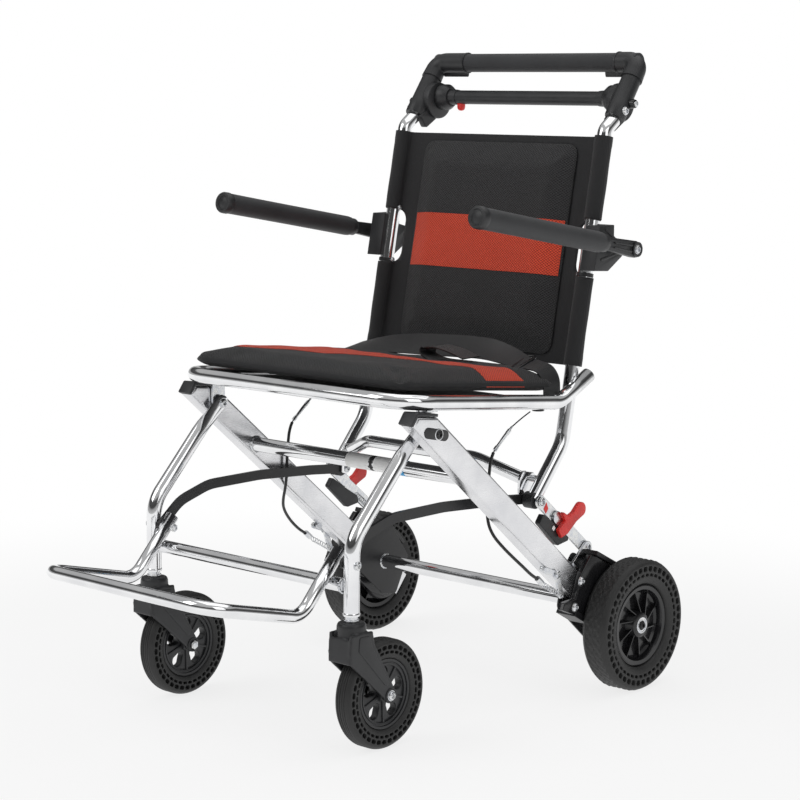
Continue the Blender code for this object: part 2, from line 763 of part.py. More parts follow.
def build_caster_axle(side, sign):
    arm_face = CASTER_TYRE_WIDTH / 2 + CASTER_SIDE_PLAY + FORK_ARM + TOUCH
    head, nut = CASTER_X + arm_face, CASTER_X - arm_face
    profile = [
        (0.0, head + 0.004),
        (0.0055, head + 0.004),
        (0.0068, head + 0.003),
        (0.0068, head),
        (0.004, head),
        (0.004, nut),
        (0.0065, nut),
        (0.0065, nut - 0.005),
        (0.0, nut - 0.005),
    ]
    return turned_pair("caster_axle_" + side, profile, sign, CASTER_AXLE, STEEL, 14)


# --------------------------------------------------------------- front legs


def build_leg(side, sign):
    """A bent leg tube whose top is flattened against the seat plate for the pivot bolt."""
    x = sign * CASTER_X
    bottom = Vector((CASTER_STEM_Y, LEG_BOTTOM_Z))
    route = rounded_route([bottom, *LEG_BEND], (0.0, LEG_BEND_RADIUS))
    leg = tube("front_leg_" + side, [side_view(x, spot) for spot in route], TUBE_RADIUS, POLISHED)
    along = (LEG_BEND[1] - LEG_BEND[0]).normalized()
    start = LEG_BEND[1] - along * 0.012
    outlines = [
        capsule(start, FRONT_PIVOT, LEG_TOP_RADIUS * 0.85, LEG_TOP_RADIUS),
        circle(FRONT_PIVOT, PIVOT_BOLT_RADIUS + BOLT_PLAY),
    ]
    top = plate("top", outlines, sign * LEG_TOP_X, LEG_TOP_THICKNESS, POLISHED)
    return join(leg, top)


def build_footrest():
    """A U of tube: two arms down from the legs, a toes-up platform edge and the front bar."""
    left = [side_view(FOOT_X, spot) for spot in (FOOT_TOP, FOOT_BEND, FOOT_FRONT)]
    right = [Vector((-spot.x, spot.y, spot.z)) for spot in reversed(left)]
    radii = (0.0, FOOT_BEND_RADIUS, FOOT_CORNER)
    route = rounded_route([*left, *right], radii + radii[::-1], 4)
    return tube("footrest", route, FOOT_RADIUS, POLISHED)


def build_stay_bar(side, sign):
    smooth = rounded_route(STAY_ROUTE, STAY_BEND_RADIUS, 3)
    outlines = [strip(smooth, STAY_WIDTH), circle(FOOT_PIVOT, PIVOT_BOLT_RADIUS + BOLT_PLAY, 12)]
    return plate("stay_bar_" + side, outlines, sign * STAY_X, STAY_THICKNESS, COATED)


# --------------------------------------------------------------------- seat


def build_seat_frame():
    """The seat's U of tube with the two plates that hang it on the front pivots."""
    left = [side_view(SEAT_TUBE_X, spot) for spot in (SEAT_END, SEAT_REAR, SEAT_FRONT)]
    right = [Vector((-spot.x, spot.y, spot.z)) for spot in reversed(left)]
    radii = (0.0, 0.050, SEAT_CORNER, SEAT_CORNER, 0.050, 0.0)
    frame = tube("seat_frame", rounded_route([*left, *right], radii, 5), TUBE_RADIUS, POLISHED)
    along = (SEAT_REAR - SEAT_FRONT).normalized()
    over_pivot = SEAT_FRONT + along * ((FRONT_PIVOT[0] - SEAT_FRONT[0]) / along[0])
    for _side, sign in SIDES:
        outlines = [
            capsule(FRONT_PIVOT, over_pivot - Vector((0.0, HANGER_RADIUS + HANGER_DROP)), HANGER_RADIUS),
            circle(FRONT_PIVOT, PIVOT_BOLT_RADIUS + BOLT_PLAY),
        ]
        hanger = plate("hanger", outlines, sign * PLATE_X, SEAT_PLATE, POLISHED)
        ends = sorted((sign * (PLATE_X - SEAT_PLATE / 2), sign * SEAT_TUBE_X))
        front = over_pivot[0] - HANGER_RADIUS * 0.8
        low = Vector((ends[0], front, over_pivot[1] - HANGER_DROP - SEAT_PLATE))
        high = Vector((ends[1], over_pivot[0] + HANGER_RADIUS * 0.8, over_pivot[1] - HANGER_DROP))
        web = block("web", low, high, POLISHED)
        join(frame, join(hanger, web))
    return frame


def seat_slab(name, half_width, front_y, rear_y, low, high, material, corner, edge=0.0):
    """A slab lying along the seat's slope, between two heights above the tubes' centre line."""
    curve = bpy.data.curves.new(name, "CURVE")
    curve.dimensions = "2D"
    curve.fill_mode = "BOTH"
    curve.extrude = (high - low) / 2 - edge
    curve.bevel_depth = edge
    curve.bevel_resolution = 1
    curve.offset = -edge
    corners = [
        Vector((-half_width, rear_y)),
        Vector((-half_width, front_y)),
        Vector((half_width, front_y)),
        Vector((half_width, rear_y)),
    ]
    outline = rounded_loop(corners, corner)
    spline = curve.splines.new("POLY")
    spline.points.add(len(outline) - 1)
    for point, spot in zip(spline.points, outline):
        point.co = (spot[0], spot[1], 0.0, 1.0)
    spline.use_cyclic_u = True
    made = link_object(name, curve, material)
    slope = math.atan2(SEAT_REAR[1] - SEAT_FRONT[1], SEAT_REAR[0] - SEAT_FRONT[0])
    made.rotation_euler = (slope, 0.0, 0.0)
    normal = Vector((0.0, -math.sin(slope), math.cos(slope)))
    made.location = side_view(0.0, SEAT_FRONT) + normal * (low + high) / 2
    return to_mesh(made)


def rounded_loop(corners, radius, steps=4):
    """A closed outline whose corners are arcs of this radius, or of one radius for each corner."""
    radii = radius if isinstance(radius, (list, tuple)) else [radius] * len(corners)
    outline = []
    for n, corner in enumerate(corners):
        before, after = corners[n - 1], corners[(n + 1) % len(corners)]
        if radii[n] <= 0:
            outline.append(corner)
            continue
        arc = rounded_route([before, corner, after], (0.0, radii[n]), steps)
        outline.extend(arc[1:-1])
    return outline


def build_seat_soft():
    inner = SEAT_TUBE_X - TUBE_RADIUS - TOUCH
    rear = CUSHION_REAR_Y - SEAT_FRONT[0]
    sling_front = TUBE_RADIUS + TOUCH
    sling = seat_slab(
        "seat_sling", inner, sling_front, rear, -SLING_THICKNESS / 2, SLING_THICKNESS / 2,
        FABRIC, SEAT_CORNER,
    )
    base = TUBE_RADIUS + RUN
    cushion = seat_slab(
        "seat_cushion", CUSHION_HALF_WIDTH, CUSHION_FRONT, rear, base, base + CUSHION_THICKNESS,
        MESH_FABRIC, CUSHION_CORNER, CUSHION_EDGE,
    )
    top = base + CUSHION_THICKNESS + BELT_SLACK
    belt_front = BELT_Y - SEAT_FRONT[0]
    belt = seat_slab(
        "seat_belt", CUSHION_HALF_WIDTH, belt_front, belt_front + BELT_WIDTH, top, top + BELT_THICKNESS,
        FABRIC, BELT_CORNER,
    )
    return sling, cushion, belt


# --------------------------------------------------------------------- back


def back_place(height, ahead=0.0):
    """The side-view place at this height on the back posts' centre line, moved forward by ahead."""
    share = (height - POST_ROUTE[1][1]) / (POST_ROUTE[2][1] - POST_ROUTE[1][1])
    return POST_ROUTE[1].lerp(POST_ROUTE[2], share) + across(BACK_SLOPE) * ahead


def build_post(side, sign):
    route = rounded_route(POST_ROUTE, POST_BEND_RADIUS)
    spots = [side_view(sign * POST_X, spot) for spot in route]
    return tube("back_post_" + side, spots, TUBE_RADIUS, POLISHED)


def build_back_cross_tube():
    """The bent tube between the posts' feet, with a gusset at each end that is bossed to its post."""
    right = [
        side_view(GUSSET_THICKNESS - GUSSET_X, BACK_CROSS_END),
        side_view(-BACK_CROSS_BEND_X, BACK_CROSS_MIDDLE),
    ]
    left = [Vector((-spot.x, spot.y, spot.z)) for spot in reversed(right)]
    route = rounded_route([*right, *left], (0.0, BACK_CROSS_BEND_RADIUS, BACK_CROSS_BEND_RADIUS, 0.0))
    cross = tube("back_cross_tube", route, BACK_CROSS_RADIUS, POLISHED)
    boss = LINK_TOP + (POST_ROUTE[1] - LINK_TOP).normalized() * GUSSET_BOSS_REACH
    for _side, sign in SIDES:
        outline = [
            LINK_TOP + Vector((-0.004, -0.009)),
            LINK_TOP + Vector((0.006, -0.007)),
            boss + Vector((0.008, -0.002)),
            boss + Vector((0.002, 0.008)),
            BACK_CROSS_END + Vector((-0.004, 0.011)),
            BACK_CROSS_END + Vector((-0.014, 0.002)),
            LINK_TOP + Vector((-0.010, -0.004)),
        ]
        gusset = plate("gusset", [outline], sign * GUSSET_X, GUSSET_THICKNESS, POLISHED)
        ends = [side_view(sign * x, boss) for x in (GUSSET_X, POST_X - TUBE_RADIUS - TOUCH)]
        join(cross, join(gusset, rod("boss", *ends, GUSSET_BOSS_RADIUS, POLISHED, 2)))
    return cross


def back_slab(name, outline, ahead, thickness, material, edge=0.0):
    """A slab parallel to the back posts. The outline is (x, height) pairs, and ahead its middle plane."""
    curve = bpy.data.curves.new(name, "CURVE")
    curve.dimensions = "2D"
    curve.fill_mode = "BOTH"
    curve.extrude = thickness / 2 - edge
    curve.bevel_depth = edge
    curve.bevel_resolution = 1
    curve.offset = -edge
    foot = back_place(BACK_LOW_Z, ahead)
    spline = curve.splines.new("POLY")
    spline.points.add(len(outline) - 1)
    for point, spot in zip(spline.points, outline):
        point.co = (spot[0], (spot[1] - BACK_LOW_Z) / BACK_SLOPE[1], 0.0, 1.0)
    spline.use_cyclic_u = True
    made = link_object(name, curve, material)
    made.rotation_euler = (math.atan2(BACK_SLOPE[1], BACK_SLOPE[0]), 0.0, 0.0)
    made.location = side_view(0.0, foot)
    return to_mesh(made)


def build_back_soft():
    """The back's sling, sewn round the posts above and below the armrests, and the pad on its front."""
    notch = POST_X - NOTCH_DEPTH
    edge = POST_X - SLING_THICKNESS
    half = [
        Vector((edge, BACK_LOW_Z + HEM)),
        Vector((edge, NOTCH_LOW_Z - HEM)),
        Vector((notch, NOTCH_LOW_Z - HEM)),
        Vector((notch, NOTCH_HIGH_Z + HEM)),
        Vector((edge, NOTCH_HIGH_Z + HEM)),
        Vector((edge, BACK_HIGH_Z - HEM)),
    ]
    outline = half + [Vector((-spot[0], spot[1])) for spot in reversed(half)]
    radii = [0.0, 0.0, NOTCH_CORNER, NOTCH_CORNER, 0.0, 0.0]
    sling = back_slab("back_sling", rounded_loop(outline, radii * 2), -SLING_BEHIND, SLING_THICKNESS, FABRIC)
    for _side, sign in SIDES:
        for low, high in ((BACK_LOW_Z, NOTCH_LOW_Z), (NOTCH_HIGH_Z, BACK_HIGH_Z)):
            ends = [side_view(sign * POST_X, back_place(height)) for height in (low, high)]
            join(sling, rod("sleeve", *ends, BACK_SLEEVE_RADIUS, FABRIC))
        heights = (BACK_LOW_Z - CUTTER_REACH, BACK_HIGH_Z + CUTTER_REACH)
        bore = [side_view(sign * POST_X, back_place(height)) for height in heights]
        cut(sling, rod("bore", *bore, TUBE_RADIUS + TOUCH, FABRIC))
    low, high = BACK_LOW_Z + PAD_MARGIN, BACK_HIGH_Z - PAD_MARGIN
    corners = [
        Vector((PAD_HALF_WIDTH, low)),
        Vector((PAD_HALF_WIDTH, high)),
        Vector((-PAD_HALF_WIDTH, high)),
        Vector((-PAD_HALF_WIDTH, low)),
    ]
    ahead = -SLING_BEHIND + SLING_THICKNESS / 2 + TOUCH + PAD_THICKNESS / 2
    outline = rounded_loop(corners, PAD_CORNER)
    pad = back_slab("back_pad", outline, ahead, PAD_THICKNESS, MESH_FABRIC, PAD_EDGE)
    return sling, pad


def build_handle_bracket(side, sign):
    """The plastic sleeve on a post's upper end, with the disc that carries the brake bar."""
    along = (HANDLE_CORNER - POST_ROUTE[3]).normalized()
    start = POST_ROUTE[3] + along * SLEEVE_GAP
    end = HANDLE_CORNER - along * ELBOW_START
    sleeve = rod(
        "handle_bracket_" + side, side_view(sign * POST_X, start), side_view(sign * POST_X, end),
        SLEEVE_RADIUS, PLASTIC,
    )
    inner = sign * (HUB_DISC_X - HUB_DISC_WIDTH / 2)
    outer = sign * POST_X
    faces = [side_view(x, BRAKE_BAR_PIVOT) for x in (inner, outer)]
    disc = rod("disc", *faces, HUB_DISC_RADIUS, PLASTIC, 6)
    return join(sleeve, disc)


def build_push_handle():
    along = (HANDLE_CORNER - POST_ROUTE[3]).normalized()
    start = HANDLE_CORNER - along * (ELBOW_START - TOUCH)
    left = [side_view(POST_X, start), side_view(POST_X, HANDLE_CORNER)]
    right = [Vector((-spot.x, spot.y, spot.z)) for spot in reversed(left)]
    handle = rod("push_handle", left[1], right[0], HANDLE_RADIUS, FOAM)
    reach = Vector((ELBOW_REACH, 0.0, 0.0))
    for elbow in ([*left, left[1] - reach], [right[1], right[0], right[0] + reach]):
        route = rounded_route(elbow, (0.0, HANDLE_BEND_RADIUS), 4)
        join(handle, tube("elbow", route, ELBOW_RADIUS, FOAM))
    return handle


def build_brake_bar():
    """The squeeze bar under the handle, with a cheek at each end that turns on the disc."""
    face = HUB_DISC_X - HUB_DISC_WIDTH / 2 - RUN
    bar = rod(
        "brake_bar", side_view(-face, BRAKE_BAR_CENTRE), side_view(face, BRAKE_BAR_CENTRE),
        BRAKE_BAR_RADIUS, PLASTIC,
    )
    for _side, sign in SIDES:
        inner = sign * (face - CHEEK_WIDTH)
        ends = [side_view(x, BRAKE_BAR_PIVOT) for x in (inner, sign * face)]
        cheek = rod("cheek", *ends, CHEEK_RADIUS, PLASTIC)
        join(bar, cheek)
    mouth = Vector((BUTTON_X, BRAKE_BAR_CENTRE[0], BRAKE_BAR_CENTRE[1] - BRAKE_BAR_RADIUS * 1.5))
    roof = mouth + Vector((0.0, 0.0, BRAKE_BAR_RADIUS * 0.5 + BUTTON_TRAVEL + BUTTON_SEAT + TOUCH))
    return cut(bar, rod("pocket", mouth, roof, BUTTON_RADIUS + BOLT_PLAY, PLASTIC))


def build_brake_button():
    """The red catch that holds the brake bar squeezed. It presses up into a pocket under the bar."""
    top = BRAKE_BAR_CENTRE[1] - BRAKE_BAR_RADIUS + BUTTON_SEAT
    start = Vector((BUTTON_X, BRAKE_BAR_CENTRE[0], top))
    return rod("parking_button", start, start - Vector((0.0, 0.0, BUTTON_LENGTH)), BUTTON_RADIUS, RED)


def build_armrest_bracket(side, sign):
    """A plastic clamp on the back post that reaches back and out to the armrest's pivot."""
    low, high = back_place(BRACKET_LOW_Z), back_place(BRACKET_HIGH_Z)
    inner = BRACKET_INNER_X
    outer = BRACKET_OUTER_X
    outline = [
        low + Vector((-TUBE_RADIUS - BRACKET_WALL, 0.0)),
        low + Vector((TUBE_RADIUS + BRACKET_WALL, -0.002)),
        ARMREST_PIVOT + Vector((0.004, -0.0130)),
        ARMREST_PIVOT + Vector((0.0120, -0.004)),
        ARMREST_PIVOT + Vector((0.0110, 0.008)),
        ARMREST_PIVOT + Vector((0.002, 0.0130)),
        high + Vector((TUBE_RADIUS + BRACKET_WALL, -0.018)),
        high + Vector((TUBE_RADIUS + BRACKET_WALL, 0.0)),
        high + Vector((-TUBE_RADIUS - BRACKET_WALL, 0.0)),
    ]
    hole = circle(ARMREST_PIVOT, ARMREST_PIN_RADIUS + BOLT_PLAY, 12)
    x = sign * (inner + outer) / 2
    clamp = plate("armrest_bracket_" + side, [outline, hole], x, outer - inner, PLASTIC, 0.002)
    reach = BACK_SLOPE * 0.06
    bore = rod(
        "bore", side_view(sign * POST_X, low - reach), side_view(sign * POST_X, high + reach),
        TUBE_RADIUS + TOUCH, PLASTIC,
    )
    return cut(clamp, bore)


def build_armrest(side, sign):
    """The swing arm with its pivot pin, and the foam grip on its tube."""
    x = sign * ARMREST_X
    along = (ARMREST_FRONT - FOAM_REAR).normalized()
    outlines = [capsule(ARMREST_PIVOT, FOAM_REAR - along * 0.012, 0.0125, 0.0095)]
    arm = plate("armrest_arm_" + side, outlines, x, ARMREST_ARM, PLASTIC, 0.002)
    inner = sign * (POST_X + TUBE_RADIUS + BRACKET_WALL)
    ends = [side_view(place, ARMREST_PIVOT) for place in (inner, x)]
    pin = rod("pin", *ends, ARMREST_PIN_RADIUS, STEEL, 2)
    tube_end = side_view(x, ARMREST_FRONT - along * 0.012)
    core = rod("core", side_view(x, FOAM_REAR - along * 0.014), tube_end, ARMREST_TUBE_RADIUS, STEEL)
    join(arm, pin, core)
    ends = [side_view(x, spot) for spot in (FOAM_REAR, ARMREST_FRONT)]
    foam = rod("armrest_foam_" + side, *ends, FOAM_RADIUS, FOAM)
    start = side_view(x, FOAM_REAR - along * 0.01)
    end = side_view(x, ARMREST_FRONT - along * (0.012 - TOUCH))
    bore = rod("bore", start, end, ARMREST_TUBE_RADIUS + TOUCH, FOAM)
    return arm, cut(foam, bore)


# -------------------------------------------------------------- lock linkage


def knee():
    return LINK_TOP.lerp(LINK_LOW, LINK_KNEE_SHARE)


def build_upper_link(side, sign):
    outlines = [capsule(LINK_TOP, knee(), LINK_WIDTH / 2)]
    return plate("upper_link_" + side, outlines, sign * LINK_UPPER_X, LINK_THICKNESS, STEEL)


def build_lower_link(side, sign):
    outlines = [capsule(knee(), LINK_LOW, LINK_WIDTH / 2)]
    return plate("lower_link_" + side, outlines, sign * LINK_LOWER_X, LINK_THICKNESS, STEEL)


def build_lock_lever(side, sign):
    """The red thumb lever that frees the lock, with its round tip and small spur."""
    body = capsule(LEVER_PIVOT, LEVER_TIP, 0.0085, 0.0115)
    return plate("lock_lever_" + side, [body], sign * LEVER_X, LEVER_THICKNESS, RED, 0.001)


def build_cable(side, sign):
    """The brake cable, clipped to the beam's inner side, from under the seat down to the brake arm."""
    route = smooth_route([Vector((sign * x, y, z)) for x, y, z in CABLE_ROUTE], CABLE_STEPS)
    return tube("brake_cable_" + side, route, CABLE_RADIUS, RUBBER, 2)


def build_frame():
    for side, sign in SIDES:
        build_beam(side, sign)
        build_beam_cap(side, sign)
        build_front_bolt(side, sign)
        build_brake_unit(side, sign)
        build_rear_axle(side, sign)
        build_cable(side, sign)
    build_cross_tube("upper_cross_tube", UPPER_CROSS, TUBE_RADIUS, BEAM_INNER)
    build_cross_tube("rear_cross_tube", REAR_CROSS, TUBE_RADIUS, BEAM_INNER)


def build_front():
    legs = pivot("front_legs_pivot", 0.0, FRONT_PIVOT)
    hang(legs, build_cross_tube("leg_cross_tube", LEG_CROSS, LEG_CROSS_RADIUS, CASTER_X - TUBE_RADIUS))
    foot = pivot("footrest_pivot", 0.0, FOOT_PIVOT)
    hang(foot, build_footrest())
    hang(legs, foot)
    for side, sign in SIDES:
        hang(legs, build_leg(side, sign))
        stay = pivot("stay_pivot_" + side, sign * STAY_X, FOOT_PIVOT)
        hang(stay, build_stay_bar(side, sign))
        swivel = pivot("caster_swivel_" + side, sign * CASTER_X, (CASTER_STEM_Y, FORK_TOP_Z))
        hang(swivel, build_caster_fork(side, sign), build_caster_axle(side, sign))
        wheel = pivot("caster_axle_line_" + side, sign * CASTER_X, CASTER_AXLE)
        hang(wheel, *build_caster_wheel(side, sign))
        hang(swivel, wheel)
        hang(legs, stay, swivel)


def build_rear():
    for side, sign in SIDES:
        wheel = pivot("rear_axle_line_" + side, sign * REAR_WHEEL_X, REAR_AXLE)
        hang(wheel, *build_rear_wheel(side, sign))
        arm = pivot("brake_arm_pivot_" + side, sign * FRAME_HALF_WIDTH, BRAKE_ARM_PIVOT)
        hang(arm, build_brake_arm(side, sign))
        link = pivot("lower_link_pivot_" + side, sign * LINK_LOWER_X, LINK_LOW)
        hang(link, build_lower_link(side, sign))
        lever = pivot("lock_lever_pivot_" + side, sign * LEVER_X, LEVER_PIVOT)
        hang(lever, build_lock_lever(side, sign))
        hang(link, lever)


def build_seat_and_back():
    seat = pivot("seat_pivot", 0.0, FRONT_PIVOT)
    back = pivot("back_pivot", 0.0, BACK_PIVOT)
    hang(seat, build_seat_frame(), *build_seat_soft())
    hang(back, build_back_cross_tube(), *build_back_soft(), build_push_handle())
    bar = pivot("brake_bar_pivot", 0.0, BRAKE_BAR_PIVOT)
    hang(bar, build_brake_bar())
    button = pivot("parking_button_line", BUTTON_X, BRAKE_BAR_CENTRE)
    hang(button, build_brake_button())
    hang(bar, button)
    hang(back, bar)
    for side, sign in SIDES:
        hang(back, build_post(side, sign), build_handle_bracket(side, sign))
        hang(back, build_armrest_bracket(side, sign))
        arm = pivot("armrest_pivot_" + side, sign * ARMREST_X, ARMREST_PIVOT)
        hang(arm, *build_armrest(side, sign))
        link = pivot("upper_link_pivot_" + side, sign * LINK_UPPER_X, LINK_TOP)
        hang(link, build_upper_link(side, sign))
        hang(back, arm, link)
    hang(seat, back)


def stand_on_origin():
    """Hangs everything on one empty and moves it, so that the chair stands centred over the origin."""
    bpy.context.view_layer.update()
    root = pivot("chair_origin", 0.0, (0.0, 0.0))
    low, high = math.inf, -math.inf
    graph = bpy.context.evaluated_depsgraph_get()
    for obj in PARTS.objects:
        if obj.type != "MESH":
            continue
        solid = obj.evaluated_get(graph)
        spots = [(solid.matrix_world @ vertex.co).y for vertex in solid.data.vertices]
        low, high = min(low, *spots), max(high, *spots)
    hang(root, *[obj for obj in PARTS.objects if obj.parent is None and obj is not root])
    root.location.y = -(low + high) / 2


build_frame()
build_front()
build_rear()
build_seat_and_back()
stand_on_origin()
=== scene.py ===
"""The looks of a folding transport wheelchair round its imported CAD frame, in metres.

X runs across the chair, Y runs backwards and Z runs up from the floor. A pair (y, z) is a place in
the side view of the chair's own drawing. side_view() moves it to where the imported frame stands.
"""

import json
import math

import bmesh
import bpy
from mathutils import Matrix, Vector
from mathutils.bvhtree import BVHTree

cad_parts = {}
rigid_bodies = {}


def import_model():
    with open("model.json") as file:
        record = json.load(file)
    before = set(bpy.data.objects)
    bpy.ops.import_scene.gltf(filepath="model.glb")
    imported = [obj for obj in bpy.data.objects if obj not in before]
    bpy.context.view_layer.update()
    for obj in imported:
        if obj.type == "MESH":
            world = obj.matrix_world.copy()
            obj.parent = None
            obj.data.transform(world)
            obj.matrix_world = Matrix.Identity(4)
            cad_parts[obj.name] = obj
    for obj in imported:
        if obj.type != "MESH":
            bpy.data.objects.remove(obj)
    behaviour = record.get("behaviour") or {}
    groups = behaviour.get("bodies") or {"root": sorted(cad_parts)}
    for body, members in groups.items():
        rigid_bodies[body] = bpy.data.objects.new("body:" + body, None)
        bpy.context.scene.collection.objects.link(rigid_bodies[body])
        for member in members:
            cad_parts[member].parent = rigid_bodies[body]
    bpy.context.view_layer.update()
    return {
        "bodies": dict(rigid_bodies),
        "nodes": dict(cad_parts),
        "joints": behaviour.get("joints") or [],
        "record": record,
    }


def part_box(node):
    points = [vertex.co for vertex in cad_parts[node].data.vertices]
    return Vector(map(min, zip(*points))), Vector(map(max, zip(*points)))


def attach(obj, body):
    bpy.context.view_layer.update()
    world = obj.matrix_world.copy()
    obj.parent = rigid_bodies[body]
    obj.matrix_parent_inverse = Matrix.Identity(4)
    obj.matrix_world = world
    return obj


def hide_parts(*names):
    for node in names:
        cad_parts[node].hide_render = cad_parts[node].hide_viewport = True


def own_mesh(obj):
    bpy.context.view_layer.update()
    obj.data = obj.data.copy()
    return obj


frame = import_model()
JOINT_AT = {joint["name"]: Vector(joint["pos_m"]) for joint in frame["joints"] if "pos_m" in joint}
DRAWN_PIVOT_Y = -0.126  # the front pivot's y in the chair's own drawing
SHIFT = JOINT_AT["seat_fold"].y - DRAWN_PIVOT_Y
SIDES = (("left", 1), ("right", -1))


def drawn(joint):
    """A joint's place in the side view of the drawing."""
    return Vector((JOINT_AT[joint].y - SHIFT, JOINT_AT[joint].z))


# Pivots, from the frame
FRONT_PIVOT = drawn("seat_fold")
FOOT_PIVOT = drawn("footrest_flip")
LINK_TOP = drawn("upper_link_swing_left")
LINK_LOW = drawn("lower_link_swing_left")
REAR_AXLE = drawn("rear_roll_left")
CASTER_AXLE = drawn("caster_roll_left")
ARMREST_PIVOT = drawn("armrest_lift_left")
BRAKE_BAR_PIVOT = drawn("brake_squeeze")
CASTER_X = abs(JOINT_AT["caster_steer_left"].x)
STEM_Y = JOINT_AT["caster_steer_left"].y - SHIFT

# Tubes
TUBE = 0.011
THIN_TUBE = 0.0095
TUBE_WALL = 0.0016
SEAT_TUBE_X = 0.225
POST_X = 0.2015
BEAM_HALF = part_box("side_beam_left")[1].x
BEAM_WIDTH = 0.0255
BEAM_INNER = BEAM_HALF - BEAM_WIDTH

# Back and seat
BACK_FOOT = Vector((0.188, 0.378))
BACK_HEAD = Vector((0.2793, 0.8382))
BACK_SLOPE = (BACK_HEAD - BACK_FOOT).normalized()
SEAT_FRONT = Vector((-0.188, 0.480))
SEAT_REAR = Vector((0.150, 0.4465))
SEAT_SLOPE = (SEAT_REAR - SEAT_FRONT).normalized()


def side_view(x, spot):
    """A place in the row frame, from x and a pair (y, z) of the drawing."""
    return Vector((x, spot[0] + SHIFT, spot[1]))


def places(spots, origin=Vector((0.0, 0.0))):
    """Places in the side view, measured from an origin."""
    return [origin + Vector(spot) for spot in spots]


def unit(angle):
    """The side-view direction at an angle from backwards towards up."""
    return Vector((math.cos(angle), math.sin(angle)))


def across(direction):
    """The side-view direction a quarter turn anticlockwise of this one."""
    return Vector((-direction[1], direction[0]))


def rounded_route(points, radii, steps=10):
    """The points with each inner corner replaced by an arc of its radius."""
    route = [Vector(points[0])]
    for before, corner, after, radius in zip(points, points[1:], points[2:], radii[1:]):
        before, corner, after = Vector(before), Vector(corner), Vector(after)
        to_start = (before - corner).normalized()
        to_end = (after - corner).normalized()
        half = to_start.angle(to_end) / 2
        if radius <= 0 or half > math.radians(89):
            route.append(corner)
            continue
        bisector = (to_start + to_end).normalized()
        centre = corner + bisector * radius / math.sin(half)
        reach = radius / math.tan(half)
        first = corner + to_start * reach - centre
        last = corner + to_end * reach - centre
        turn = first.angle(last)
        for step in range(steps + 1):
            share = step / steps
            arm = first * (math.sin((1 - share) * turn) / math.sin(turn))
            arm += last * (math.sin(share * turn) / math.sin(turn))
            route.append(centre + arm)
    route.append(Vector(points[-1]))
    return route


def smooth_route(points, steps):
    """A Catmull-Rom curve through the points."""
    points = [Vector(point) for point in points]
    ends = [points[0] * 2 - points[1], *points, points[-1] * 2 - points[-2]]
    route = []
    for a, b, c, d in zip(ends, ends[1:], ends[2:], ends[3:]):
        for step in range(steps):
            t = step / steps
            bend = (a * 2 - b * 5 + c * 4 - d) * t**2 + (b * 3 - a - c * 3 + d) * t**3
            route.append((b * 2 + (c - a) * t + bend) / 2)
    return [*route, points[-1]]


def circle(centre, radius, steps=40):
    return [Vector(centre) + unit(2 * math.pi * n / steps) * radius for n in range(steps)]


def capsule(start, end, start_radius, end_radius=None, steps=12):
    """The outline of a flat link with a round end about each point."""
    end_radius = start_radius if end_radius is None else end_radius
    along = math.atan2(end[1] - start[1], end[0] - start[0])
    outline = []
    for centre, radius, turn in ((end, end_radius, along), (start, start_radius, along + math.pi)):
        for step in range(steps + 1):
            outline.append(Vector(centre) + unit(turn - math.pi / 2 + math.pi * step / steps) * radius)
    return outline


def rounded_loop(corners, radius, steps=6):
    """A closed outline whose corners are arcs of this radius."""
    outline = []
    for n, corner in enumerate(corners):
        before, after = corners[n - 1], corners[(n + 1) % len(corners)]
        arc = rounded_route([before, corner, after], (0.0, radius), steps)
        outline.extend(arc[1:-1])
    return outline


# ---------------------------------------------------------------- materials


